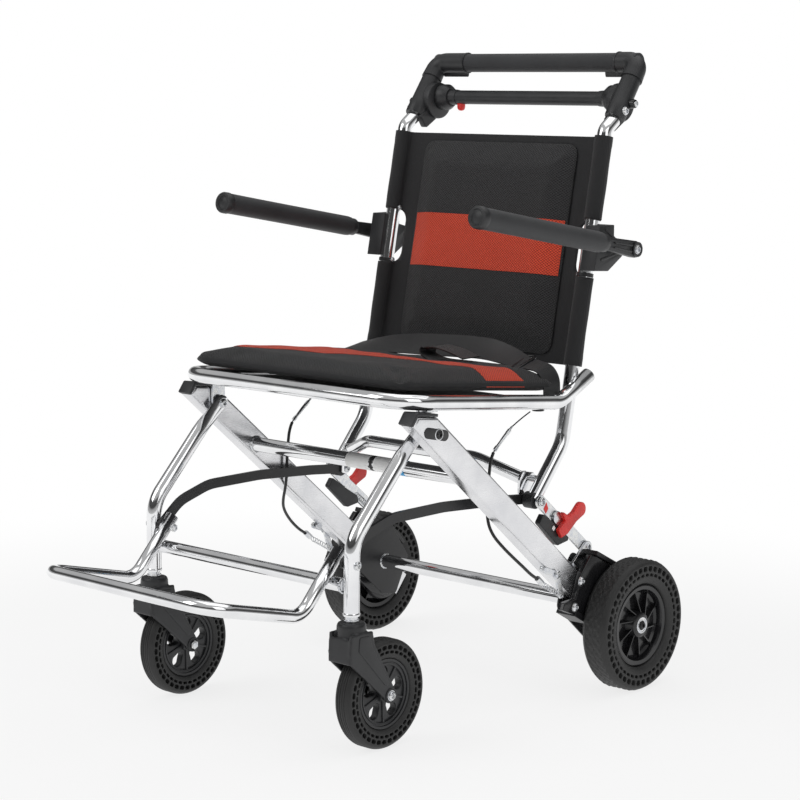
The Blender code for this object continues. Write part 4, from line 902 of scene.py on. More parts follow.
def build_footrest():
    """The footrest loop, without the flattened ends that it turns on."""
    left = [side_view(0.170, spot) for spot in ((-0.252, 0.280), (-0.326, 0.199), (-0.492, 0.2385))]
    right = [Vector((-spot.x, spot.y, spot.z)) for spot in reversed(left)]
    radii = (0.0, 0.034, 0.040)
    route = rounded_route([*left, *right], radii + radii[::-1], 14)
    foot = sweep("footrest_tube", route, THIN_TUBE, POLISHED, "footrest", 32, TUBE_WALL)
    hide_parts("footrest")


def build_seat_frame():
    """The U of the seat tube, its hangers and the cables' end buttons."""
    left = [side_view(SEAT_TUBE_X, spot) for spot in ((0.219, 0.480), SEAT_REAR, SEAT_FRONT)]
    right = [Vector((-spot.x, spot.y, spot.z)) for spot in reversed(left)]
    radii = (0.0, 0.050, 0.058, 0.058, 0.050, 0.0)
    route = rounded_route([*left, *right], radii, 16)
    seat = sweep("seat_tube", route, TUBE, POLISHED, "seat", 36, TUBE_WALL)
    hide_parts("seat_frame")
    over = SEAT_FRONT + SEAT_SLOPE * ((FRONT_PIVOT[0] - SEAT_FRONT[0]) / SEAT_SLOPE[0])
    for side, sign in SIDES:
        outline = capsule(FRONT_PIVOT, over - Vector((0.0, 0.0125)), 0.0125)
        plate("hanger_" + side, [outline], sign * 0.2075, 0.004, ZINC, "seat", 0.0006)
        web = places(((-0.011, -0.0138), (0.011, -0.0138), (0.011, -0.0088), (-0.011, -0.0088)), over)
        plate("hanger_web_" + side, [web], sign * 0.2165, 0.017, ZINC, "seat", 0.0006)
        clip = [(0.0, 0.0), (0.0088, 0.0), (0.0092, 0.0022), (0.0060, 0.0040), (0.0, 0.0040)]
        spot = SEAT_FRONT + SEAT_SLOPE * 0.300 - Vector((0.0, TUBE + 0.0022))
        lathe("cable_button_" + side, clip, side_view(sign * 0.2185, spot), (0, 0, 1), PLASTIC, "seat", 24)


def build_back_frame():
    """The back posts, the bent tube between their feet and its gussets."""
    for side, sign in SIDES:
        route = rounded_route([LINK_TOP, BACK_FOOT, BACK_HEAD, (0.2995, 0.853)], (0.0, 0.060, 0.018, 0.0), 14)
        post = sweep("post_" + side, [side_view(sign * POST_X, s) for s in route], TUBE, POLISHED, "back", 36)
        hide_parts("back_post_" + side)
        collar = [
            (0.0, -0.0125), (0.0112, -0.0125), (0.0124, -0.011), (0.0124, 0.006), (0.0112, 0.0075),
            (0.0, 0.0075),
        ]
        lathe(
            "post_foot_" + side, collar, side_view(sign * POST_X, LINK_TOP), (sign, 0, 0), PLASTIC, "back",
            36,
        )
        bolt("post_bolt_" + side, sign * (POST_X + 0.0168), LINK_TOP, sign, 0.0068, "back")
    right = [side_view(-0.1771, (0.1275, 0.3305)), side_view(-0.110, (0.099, 0.357))]
    left = [Vector((-spot.x, spot.y, spot.z)) for spot in reversed(right)]
    route = rounded_route([*right, *left], (0.0, 0.040, 0.040, 0.0), 14)
    tube = sweep("back_cross", route, THIN_TUBE, POLISHED, "back", 32)
    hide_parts("back_cross_tube")
    boss = LINK_TOP + (BACK_FOOT - LINK_TOP).normalized() * 0.036
    end = Vector((0.1275, 0.3305))
    for side, sign in SIDES:
        corners = [
            LINK_TOP + Vector((0.004, -0.008)),
            boss + Vector((0.008, 0.000)),
            boss + Vector((0.000, 0.009)),
            end + Vector((-0.006, 0.012)),
            end + Vector((-0.014, 0.000)),
            LINK_TOP + Vector((-0.010, -0.005)),
        ]
        plate(
            "gusset_" + side, [rounded_loop(corners, 0.004, 4)], sign * 0.1811, 0.004, POLISHED, "back",
            0.0008,
        )
        sweep(
            "gusset_boss_" + side, [side_view(sign * 0.182, boss), side_view(sign * 0.191, boss)], 0.005,
            ZINC, "back", 24,
        )
        weld_bead("gusset_weld_" + side, side_view(sign * 0.1785, end), (1, 0, 0), THIN_TUBE + 0.0004, "back")
        bolt("stay_bolt_" + side, sign * 0.1788, LINK_TOP + Vector((0.001, 0.001)), -sign, 0.006, "back")


for SIDE, SIGN in SIDES:
    build_beam(SIDE, SIGN)
    build_front_leg(SIDE, SIGN)
    dress("stay_bar_" + SIDE, COATED, 0.0009)
build_cross_tubes()
build_footrest()
build_seat_frame()
build_back_frame()


# ------------------------------------------------------------------- wheels


TREAD_GROOVE = 0.0013
BLOCK_EDGE = 0.0007
BLOCK_HEIGHT = 0.0011
HOLE_CHAMFER = 0.0008
HOLE_DEPTH = 0.0065


def tyre_rings(half, bore, radius, row_in, row_middle, row_out, ribbed):
    """The section's rings from the outer flank round the tread to the inner flank, as (radius, x)."""
    flank = [
        (bore, half * 0.72),
        (bore + (row_in - bore) * 0.3, half * 0.84),
        (row_in, half * 0.95),
        (row_middle, half * 0.99),
        (row_out, half * 1.0),
        (row_out + (radius - row_out) * 0.45, half * 0.95),
        (radius - 0.0022, half * 0.80),
    ]
    tread = [(radius - 0.0004, half * 0.66)]
    if ribbed:
        for share in (0.44, 0.18):
            tread += [(radius, half * (share + 0.10)), (radius, half * (share + 0.03))]
            tread += [(radius - TREAD_GROOVE, half * share), (radius - TREAD_GROOVE, half * (share - 0.05))]
            tread += [(radius, half * (share - 0.08))]
    else:
        tread += [(radius - TREAD_GROOVE, half * share) for share in (0.62, 0.34, 0.04)]
    rings = flank + tread
    return rings + [(r, -x) for r, x in reversed(rings)]


def build_tyre(name, node, body, x, spot, sizes, holes, ribbed):
    """A solid tyre with two staggered rows of blind holes in each flank and a pattern on its tread."""
    radius, bore, width, row_in, row_middle, row_out = sizes
    rings = tyre_rings(width / 2, bore, radius, row_in, row_middle, row_out, ribbed)
    columns = holes * 2
    centre = side_view(x, spot)
    shape = bmesh.new()
    grid = []
    for ring_radius, offset in rings:
        ring = []
        for step in range(columns):
            arm = unit(2 * math.pi * step / columns) * ring_radius
            ring.append(shape.verts.new(centre + Vector((offset, arm[0], arm[1]))))
        grid.append(ring)
    last = len(rings) - 1
    hole_bands = {2: 0, 3: 1, last - 3: 0, last - 4: 1}  # from this ring to the next, and its stagger
    pits, blocks = [], []
    for n in range(last):
        near, far = grid[n], grid[n + 1]
        if n in hole_bands:
            for step in range(holes):
                first = step * 2 + hole_bands[n]
                at = [(first + k) % columns for k in range(3)]
                corners = [near[k] for k in at] + [far[k] for k in reversed(at)]
                pits.append(shape.faces.new(corners))
            continue
        for step in range(columns):
            other = (step + 1) % columns
            face = shape.faces.new((near[step], near[other], far[other], far[step]))
            if not ribbed and 7 <= n < last - 7 and (step + n) % 2:
                blocks.append(face)
    for step in range(columns):
        other = (step + 1) % columns
        shape.faces.new((grid[last][step], grid[last][other], grid[0][other], grid[0][step]))
    bmesh.ops.recalc_face_normals(shape, faces=shape.faces)
    rim = (row_out - row_middle) * 0.13
    bmesh.ops.inset_individual(shape, faces=pits, thickness=rim)
    bmesh.ops.inset_individual(shape, faces=pits, thickness=rim * 0.5, depth=-HOLE_CHAMFER)
    bmesh.ops.inset_individual(shape, faces=pits, thickness=rim * 0.4, depth=-HOLE_DEPTH)
    if blocks:
        bmesh.ops.inset_individual(shape, faces=blocks, thickness=BLOCK_EDGE, depth=BLOCK_HEIGHT)
    made = from_bmesh(name, shape, RUBBER, body, 60)
    smooth = made.modifiers.new("round", "SUBSURF")
    smooth.levels = smooth.render_levels = 1
    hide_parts(node)
    return made


def add_fin(shape, centre, sign, turn, radii, heights, thickness, sweep_back):
    """Adds one blade of a hub to a bmesh: upright on the dish and leaning round as it goes out."""
    corners = []
    for radius, height, lean in ((radii[0], heights[0], 0.0), (radii[1], heights[1], sweep_back)):
        arm = unit(turn + lean)
        aside = across(arm) * thickness / 2
        for offset in (aside, -aside):
            spot = arm * radius + offset
            for level in (heights[2], height):
                corners.append(shape.verts.new(centre + Vector((sign * level, spot[0], spot[1]))))
    for loop in ((0, 1, 3, 2), (4, 6, 7, 5), (0, 4, 5, 1), (2, 3, 7, 6), (1, 5, 7, 3), (0, 2, 6, 4)):
        shape.faces.new([corners[n] for n in loop])


def build_rear_hub(side, sign):
    """A dished hub with ten leaning blades on each face, a bearing and the axle's bolt."""
    body = "rear_wheel_" + side
    low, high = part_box("rear_tyre_" + side)
    x = (low.x + high.x) / 2
    centre = side_view(x, REAR_AXLE)
    shape = bmesh.new()
    section = [
        (0.0062, 0.0165), (0.0150, 0.0165), (0.0185, 0.0150), (0.0205, 0.0100), (0.0240, 0.0035),
        (0.0480, 0.0030), (0.0515, 0.0060), (0.0530, 0.0120), (0.0545, 0.0150), (0.0600, 0.0158),
        (0.0620, 0.0148),
    ]
    profile = section + [(radius, -height) for radius, height in reversed(section)]
    add_lathe(shape, profile, centre, (1, 0, 0), 80, closed=True)
    for face in (1, -1):
        for n in range(10):
            turn = 2 * math.pi * (n + 0.25) / 10
            add_fin(shape, centre, face, turn, (0.0180, 0.0525), (0.0135, 0.0085, 0.0020), 0.0016, 0.30)
    hub = from_bmesh("hub_rear_" + side, shape, GLOSS, body, 30)
    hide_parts("rear_hub_" + side)
    bearing = [(0.0070, 0.0160), (0.0075, 0.0172), (0.0088, 0.0172), (0.0090, 0.0166), (0.0104, 0.0166)]
    bearing += [(0.0106, 0.0174), (0.0122, 0.0174), (0.0126, 0.0160)]
    for face in (1, -1):
        lathe(
            f"bearing_{side}_{'outer' if face == sign else 'inner'}", bearing, centre, (face, 0, 0), ZINC,
            body, 40,
        )
    end = bolt("axle_end_" + side, x + sign * 0.0165, REAR_AXLE, sign, 0.0066, "frame", 0.0040, COATED)
    pin = [(0.0, -0.030), (0.0058, -0.030), (0.0058, 0.016), (0.0, 0.016)]
    lathe("axle_pin_" + side, pin, centre, (sign, 0, 0), ZINC, "frame", 24)
    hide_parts("rear_axle_" + side)


def build_caster_hub(side, sign):
    """A stepped rim, a web with five rounded openings and a boss, on a plated bolt."""
    body = "caster_wheel_" + side
    x = sign * CASTER_X
    centre = side_view(x, CASTER_AXLE)
    rim = [
        (0.0400, 0.0040), (0.0405, 0.0085), (0.0430, 0.0092), (0.0434, 0.0080), (0.0452, 0.0080),
        (0.0456, 0.0098), (0.0490, 0.0102),
    ]
    profile = rim + [(radius, -height) for radius, height in reversed(rim)]
    hub = lathe("hub_caster_" + side, profile, centre, (1, 0, 0), PLASTIC, body, 72, closed=True)
    outlines = [circle(CASTER_AXLE, 0.0415, 60)]
    for n in range(5):
        turn = 2 * math.pi * n / 5 + math.pi / 2
        outlines.append(
            capsule(
                CASTER_AXLE + unit(turn) * 0.0215, CASTER_AXLE + unit(turn) * 0.0300, 0.0058, 0.0092, 10
            )
        )
    plate("web_caster_" + side, outlines, x, 0.0120, PLASTIC, body, 0.0012)
    for n in range(5):
        turn = 2 * math.pi * (n + 0.5) / 5 + math.pi / 2
        rib = capsule(CASTER_AXLE + unit(turn) * 0.012, CASTER_AXLE + unit(turn) * 0.040, 0.0026, 0.0016, 6)
        plate(f"rib_caster_{side}_{n}", [rib], x, 0.0160, PLASTIC, body, 0.0008)
    boss = [(0.0, 0.0135), (0.0095, 0.0135), (0.0112, 0.0125), (0.0118, 0.0070), (0.0118, -0.0070)]
    boss += [(0.0112, -0.0125), (0.0095, -0.0135), (0.0, -0.0135)]
    lathe("boss_caster_" + side, boss, centre, (1, 0, 0), PLASTIC, body, 40)
    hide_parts("caster_hub_" + side)
    face = 0.0218
    carrier = "caster_swivel_" + side
    head = bolt("caster_bolt_" + side, x + sign * face, CASTER_AXLE, sign, 0.0072, carrier, 0.0042)
    hex_nut("caster_nut_" + side, x - sign * face, CASTER_AXLE, -sign, 0.0068, carrier)
    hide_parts("caster_axle_" + side)


def build_fork(side, sign):
    """The moulded caster fork: its crown, arms and front lip grown together, with raised panels."""
    body = "caster_swivel_" + side
    x = sign * CASTER_X
    arm_x = 0.0190
    crown_foot = Vector((STEM_Y, 0.152))
    profile = [(0.0, 0.187), (0.0165, 0.187), (0.0190, 0.1855), (0.0202, 0.182), (0.0206, 0.170)]
    profile += [(0.0216, 0.156), (0.0222, 0.146), (0.0, 0.146)]
    crown = lathe("crown_" + side, profile, side_view(x, (STEM_Y, 0.0)), (0, 0, 1), PLASTIC, None, 40)
    arm = [
        crown_foot + Vector((-0.0215, 0.0220)),
        crown_foot + Vector((0.0205, 0.0220)),
        crown_foot + Vector((0.0240, 0.0040)),
        *[CASTER_AXLE + unit(math.radians(a)) * 0.0112 for a in range(35, -166, -20)],
        crown_foot + Vector((-0.0205, -0.0200)),
        crown_foot + Vector((-0.0240, -0.0060)),
    ]
    arms = [plate("arm", [arm], x + end * arm_x, 0.0050, PLASTIC, None, 0.0008) for end in (1, -1)]
    lip = places(((-0.0250, -0.0200), (-0.0185, -0.0165), (-0.0150, 0.0120), (-0.0215, 0.0160)), crown_foot)
    front = plate("lip", [lip], x, 0.0410, PLASTIC, None, 0.001)
    fork = merged("fork_" + side, [crown, *arms, front], None)
    grow = fork.modifiers.new("grow", "REMESH")
    grow.mode = "VOXEL"
    grow.voxel_size = 0.0013
    soften = fork.modifiers.new("soften", "SMOOTH")
    soften.factor = 0.6
    soften.iterations = 6
    apply_all(fork)
    fork.data.shade_smooth()
    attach(fork, body)
    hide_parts("caster_fork_" + side)
    for end in (1, -1):
        face = x + end * (arm_x + 0.0025)
        low = CASTER_AXLE + Vector((-0.0040, 0.0130))
        panel = [
            low + Vector((0.0030, 0.0015)),
            crown_foot + Vector((0.0180, 0.0010)),
            crown_foot + Vector((0.0140, 0.0165)),
            crown_foot + Vector((-0.0060, 0.0175)),
            crown_foot + Vector((-0.0080, -0.0020)),
            low + Vector((-0.0080, 0.0035)),
        ]
        name = f"fork_panel_{side}_{'outer' if end == sign else 'inner'}"
        plate(name, [rounded_loop(panel, 0.0035, 5)], face, 0.0016, PLASTIC, body, 0.0006)
        ring = [(0.0080, 0.0), (0.0108, 0.0), (0.0106, 0.0012), (0.0086, 0.0014), (0.0080, 0.0006)]
        lathe("fork_ring_" + name[11:], ring, side_view(face, CASTER_AXLE), (end, 0, 0), PLASTIC, body, 36)
    stem = [
        (0.0, 0.1868), (0.0100, 0.1868), (0.0104, 0.1876), (0.0104, 0.1904), (0.0088, 0.1908),
        (0.0086, 0.1960), (0.0, 0.1960),
    ]
    lathe("stem_" + side, stem, side_view(x, (STEM_Y, 0.0)), (0, 0, 1), ZINC, body, 36)


REAR_HOLES = 44
CASTER_HOLES = 38
# each tyre's radius, bore and width, and the radii of its two rows of holes: in, between and out
REAR_TYRE = (0.100, 0.0622, 0.0445, 0.0735, 0.0812, 0.0925)
CASTER_TYRE = (0.077, 0.0492, 0.0290, 0.0560, 0.0622, 0.0705)
for SIDE, SIGN in SIDES:
    WHEEL_LOW, WHEEL_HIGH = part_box("rear_tyre_" + SIDE)
    build_tyre(
        "tyre_rear_" + SIDE, "rear_tyre_" + SIDE, "rear_wheel_" + SIDE, (WHEEL_LOW.x + WHEEL_HIGH.x) / 2,
        REAR_AXLE, REAR_TYRE, REAR_HOLES, False,
    )
    build_tyre(
        "tyre_caster_" + SIDE, "caster_tyre_" + SIDE, "caster_wheel_" + SIDE, SIGN * CASTER_X,
        CASTER_AXLE, CASTER_TYRE, CASTER_HOLES, True,
    )
    build_rear_hub(SIDE, SIGN)
    build_caster_hub(SIDE, SIGN)
    build_fork(SIDE, SIGN)


# --------------------------------------------------- brakes, locks and cables


def coil_route(x, start, end, radius, turns):
    """The line of a spring's wire round the straight line between two places in the side view."""
    steps = turns * 12
    route = []
    for n in range(steps + 1):
        angle = 2 * math.pi * n / 12
        offset = Vector((math.cos(angle) * radius, 0.0, math.sin(angle) * radius))
        route.append(side_view(x, Vector(start).lerp(Vector(end), n / steps)) + offset)
    return route


def build_brake(side, sign):
    """The black housing round the beam's lower end, with its bolts, springs and the bent cable arm."""
    dress("brake_unit_" + side, GLOSS, 0.0010)
    face = sign * (BEAM_HALF + 0.0108)
    for n, spot in enumerate(((0.182, 0.177), (0.168, 0.140), (0.262, 0.176))):
        bolt(f"brake_bolt_{side}_{n}", face, spot, sign, 0.0070, "frame", 0.0040)
    inner = sign * (BEAM_INNER - 0.0005)
    cheek = [
        (0.206, 0.213), (0.262, 0.184), (0.300, 0.130), (0.270, 0.070), (0.238, 0.076), (0.172, 0.133),
        (0.182, 0.186),
    ]
    plate("brake_cheek_" + side, [rounded_loop(places(cheek), 0.008)], inner, 0.003, COATED, "frame")
    lip = places(((0.166, 0.127), (0.198, 0.109), (0.203, 0.116), (0.171, 0.135)))
    plate("brake_lip_" + side, [lip], sign * (BEAM_HALF - 0.006), 0.036, COATED, "frame", 0.001)
    top = places(
        ((0.214, 0.212), (0.262, 0.187), (0.300, 0.148), (0.304, 0.152), (0.266, 0.193), (0.217, 0.218))
    )
    plate("brake_roof_" + side, [top], sign * (BEAM_HALF - 0.001), 0.030, COATED, "frame", 0.001)
    drum = [(0.0, 0.0), (0.040, 0.0), (0.044, 0.002), (0.046, 0.0085), (0.0, 0.0085)]
    lathe(
        "brake_drum_" + side, drum, side_view(sign * (BEAM_HALF + 0.004), REAR_AXLE), (sign, 0, 0), COATED,
        "frame", 48,
    )
    dress("brake_arm_" + side, ZINC, 0.0008)
    arm = "brake_arm_" + side
    x = sign * (BEAM_HALF + 0.0020)
    bolt("arm_bolt_" + side, x + sign * 0.0020, (0.1335, 0.1945), sign, 0.0064, arm)
    nut = sweep(
        "cable_nut_" + side, [
            side_view(x, (0.0890, 0.1955)), side_view(x, (0.1000, 0.1862))
        ], 0.0045, ZINC, "frame", 6
    )
    coil = coil_route(x, (0.1030, 0.1840), (0.1450, 0.1610), 0.0040, 8)
    sweep("brake_spring_" + side, coil, 0.0007, ZINC, "frame", 8)
    clip = [(0.0, 0.0), (0.0052, 0.0), (0.0056, 0.003), (0.0040, 0.007), (0.0, 0.007)]
    lathe(
        "cable_stop_" + side, clip, side_view(sign * (BEAM_HALF - 0.008), (0.1120, 0.2050)), (sign, 0, 0),
        ZINC, "frame", 20,
    )


def build_lock(side, sign):
    """The black latch block with its red thumb lever, and the plated straps above and below it."""
    upper, lower, lever = "upper_link_" + side, "lower_link_" + side, "lock_lever_" + side
    dress(upper, ZINC, 0.0008)
    dress(lower, ZINC, 0.0008)
    x = JOINT_AT["lock_release_" + side].x
    block = [
        (0.1245, 0.2830), (0.1145, 0.2700), (0.1580, 0.2310), (0.1840, 0.2350), (0.1800, 0.2470),
        (0.1520, 0.2640),
    ]
    outline = rounded_loop(places(block), 0.0028, 4)
    link_x = sign * max(abs(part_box(lower)[0].x), abs(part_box(lower)[1].x))
    plate("latch_block_" + side, [outline], link_x - sign * 0.0058, 0.0100, PLASTIC, lower, 0.0009)
    window = circle(Vector((0.1462, 0.2590)), 0.0042, 4)
    plate("latch_window_" + side, [window], link_x + sign * 0.0002, 0.0010, WHITE_BAND, lower, 0.0002)
    mark = places(((0.0125, -0.0030), (0.0165, -0.0130), (0.0110, -0.0195), (0.0060, -0.0120)), LINK_TOP)
    strap_x = sign * max(abs(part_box(upper)[0].x), abs(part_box(upper)[1].x))
    plate("strap_mark_" + side, [mark], strap_x + sign * 0.0002, 0.0008, RED, upper, 0.0002)
    pivot, tip = Vector((0.1620, 0.2560)), Vector((0.2030, 0.2800))
    along = (tip - pivot).normalized()
    side_way = across(along)
    spur = pivot + along * 0.012 + side_way * 0.0085
    body = [
        pivot - along * 0.010 - side_way * 0.0085,
        pivot + along * 0.004 - side_way * 0.0120,
        pivot + along * 0.030 - side_way * 0.0090,
        *[tip + unit(math.atan2(along[1], along[0]) + math.radians(a)) * 0.0112 for a in range(-80, 101, 15)],
        tip - along * 0.016 + side_way * 0.0080,
        tip - along * 0.020 + side_way * 0.0085,
        spur + along * 0.008 + side_way * 0.0010,
        spur + along * 0.0010 + side_way * 0.0130,
        spur - along * 0.0030 + side_way * 0.0110,
        spur - along * 0.0020,
        pivot - along * 0.010 + side_way * 0.0060,
    ]
    thumb = plate("thumb_lever_" + side, [body], x, 0.0070, RED, lever, 0.0012, 4)
    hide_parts(lever)
    coil = coil_route(sign * 0.2165, (0.186, 0.246), (0.212, 0.2245), 0.0042, 7)
    sweep("lock_spring_" + side, coil, 0.0008, ZINC, lower, 8)


CABLE_ROUTE = (
    (0.2050, 0.1085, 0.4345),
    (0.2050, 0.0845, 0.4247),
    (0.2050, 0.0578, 0.4115),
    (0.2050, 0.0415, 0.3986),
    (0.2050, 0.0274, 0.3841),
    (0.2050, 0.0210, 0.3700),
    (0.2050, 0.0185, 0.3550),
    (0.2050, 0.0165, 0.3350),
    (0.2050, 0.0150, 0.3150),
    (0.2055, 0.0145, 0.2960),
    (0.2090, 0.0150, 0.2790),
    (0.2160, 0.0185, 0.2640),
    (0.2250, 0.0270, 0.2490),
    (0.2320, 0.0400, 0.2340),
    (0.2370, 0.0570, 0.2180),
    (0.2385, 0.0740, 0.2040),
    (0.2390, 0.0905, 0.1935),
)


def build_cable(side, sign):
    """The brake cable: bare wire from under the seat, a plated adjuster, and the black sheath below it."""
    spots = [side_view(sign * x, (y, z)) for x, y, z in CABLE_ROUTE]
    route = smooth_route(spots, 5)
    wire = sweep("cable_wire_" + side, route[:22], 0.0010, COATED, "frame", 10)
    sheath = sweep("cable_sheath_" + side, route[20:], 0.0023, SHEATH, "frame", 14)
    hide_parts("brake_cable_" + side)
    start, end = route[8], route[19]
    barrel = (end - start).normalized()
    length = (end - start).length
    profile = [
        (0.0, 0.0), (0.0017, 0.0), (0.0019, length * 0.12), (0.0030, length * 0.14), (0.0030, length * 0.30),
        (0.0024, length * 0.32), (0.0024, length * 0.84), (0.0031, length * 0.86), (0.0031, length),
        (0.0, length),
    ]
    lathe("cable_adjuster_" + side, profile, start, barrel, ZINC, "frame", 24)


for SIDE, SIGN in SIDES:
    build_brake(SIDE, SIGN)
    build_lock(SIDE, SIGN)
    build_cable(SIDE, SIGN)


# ------------------------------------------------------- handle and armrests


HANDLE_CORNER = Vector((0.360, 0.939))
POST_TOP = Vector((0.2995, 0.853))
SLEEVE_WAY = (HANDLE_CORNER - POST_TOP).normalized()


def build_handle():
    """The push grip with its thicker moulded elbows, whose seams stand a little proud."""
    grip = []
    for n in range(41):
        grip.append(side_view(POST_X * (1 - n / 20), HANDLE_CORNER))
    bar = sweep("handle_grip", grip, 0.0145, FOAM, "back", 40)
    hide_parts("push_handle")
    for side, sign in SIDES:
        reach = 0.036 if sign > 0 else 0.062
        start = HANDLE_CORNER - SLEEVE_WAY * 0.031
        points = [side_view(sign * POST_X, start), side_view(sign * POST_X, HANDLE_CORNER)]
        points.append(points[1] - Vector((sign * reach, 0.0, 0.0)))
        route = rounded_route(points, (0.0, 0.018, 0.0), 14)
        sizes = [0.0160] * len(route)
        sizes[0] = 0.0168
        elbow = sweep("handle_elbow_" + side, route, sizes, PLASTIC, "back", 40)
        rim = [(0.0150, 0.0), (0.0166, 0.0004), (0.0168, 0.0030), (0.0160, 0.0040), (0.0146, 0.0040)]
        lathe(
            "elbow_rim_" + side, rim, points[2] + Vector((sign * 0.002, 0, 0)), (-sign, 0, 0), PLASTIC,
            "back", 40,
        )
        pad = [points[1] + Vector((-sign * a, 0.001, -0.0135)) for a in (0.012, 0.030, 0.050, 0.062)]
        sweep("elbow_rest_" + side, smooth_route(pad, 6), [(0.0085, 0.0030)] * 19, PLASTIC, "back", 20)


def build_sleeve(side, sign):
    """The sleeve on the post's top, with the disc that the brake bar turns on, bolts and a knob."""
    start = POST_TOP + SLEEVE_WAY * 0.0035
    end = HANDLE_CORNER - SLEEVE_WAY * 0.029
    route = [start + (end - start) * share for share in (0.0, 0.03, 0.30, 0.34, 0.9, 0.97, 1.0)]
    sizes = [0.0150, 0.0158, 0.0160, 0.0154, 0.0152, 0.0152, 0.0146]
    sleeve = sweep("sleeve_" + side, [side_view(sign * POST_X, s) for s in route], sizes, PLASTIC, "back", 40)
    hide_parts("handle_bracket_" + side)
    low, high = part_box("brake_bar")
    inner = max(abs(low.x), abs(high.x)) + 0.0008
    disc = [
        (0.0, 0.0), (0.0255, 0.0), (0.0285, 0.0015), (0.0290, 0.0040), (0.0290, 0.0120), (0.0270, 0.0140),
        (0.0, 0.0140),
    ]
    lathe(
        "bar_disc_" + side, disc, side_view(sign * inner, BRAKE_BAR_PIVOT), (sign, 0, 0), PLASTIC, "back",
        56,
    )
    tab = places(((-0.020, -0.012), (0.002, -0.027), (-0.026, -0.044), (-0.040, -0.024)), BRAKE_BAR_PIVOT)
    plate(
        "sleeve_tab_" + side, [rounded_loop(tab, 0.004)], sign * (POST_X - 0.012), 0.012, PLASTIC, "back",
        0.002,
    )
    bolt("sleeve_bolt_" + side, sign * (POST_X + 0.0150), (0.3085, 0.8672), sign, 0.0062, "back", 0.0040)
    knob = [
        (0.0, 0.022), (0.0040, 0.022), (0.0062, 0.0205), (0.0070, 0.017), (0.0070, 0.006), (0.0055, 0.003),
        (0.0050, -0.006), (0.0, -0.006),
    ]
    lathe(
        "sleeve_knob_" + side, knob, side_view(sign * (POST_X + 0.003), (0.3216, 0.8775)), (sign, 0, 0),
        GLOSS, "back", 28,
    )
    bolt("knob_screw_" + side, sign * (POST_X + 0.0252), (0.3216, 0.8775), sign, 0.0040, "back", 0.002)


def build_brake_bar():
    """The bar that is squeezed towards the handle, and the red catch under it."""
    low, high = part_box("brake_bar")
    half = max(abs(low.x), abs(high.x))
    centre = Vector((0.342, 0.8845))
    shares = (0.0, 0.012, 0.020, 0.020, 0.030, 0.034, 0.034)
    radii = (0.0205, 0.0205, 0.0150, 0.0126, 0.0122, 0.0118, 0.0110)
    profile = [(0.0, half)]
    profile += [(radius, half - share) for radius, share in zip(radii, shares)]
    profile += [(radius, share - half) for radius, share in reversed(list(zip(radii, shares)))]
    profile.append((0.0, -half))
    bar = lathe("squeeze_bar", profile, side_view(0.0, centre), (1, 0, 0), PLASTIC, "brake_bar", 48)
    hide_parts("brake_bar")
    low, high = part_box("parking_button")
    middle = (low + high) / 2
    dome = [
        (0.0, -0.0078), (0.0034, -0.0072), (0.0056, -0.0052), (0.0064, -0.0020), (0.0064, 0.0040),
        (0.0, 0.0040),
    ]
    catch = lathe("parking_catch", dome, middle, (0, 0, 1), RED, "parking_button", 32)
    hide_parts("parking_button")


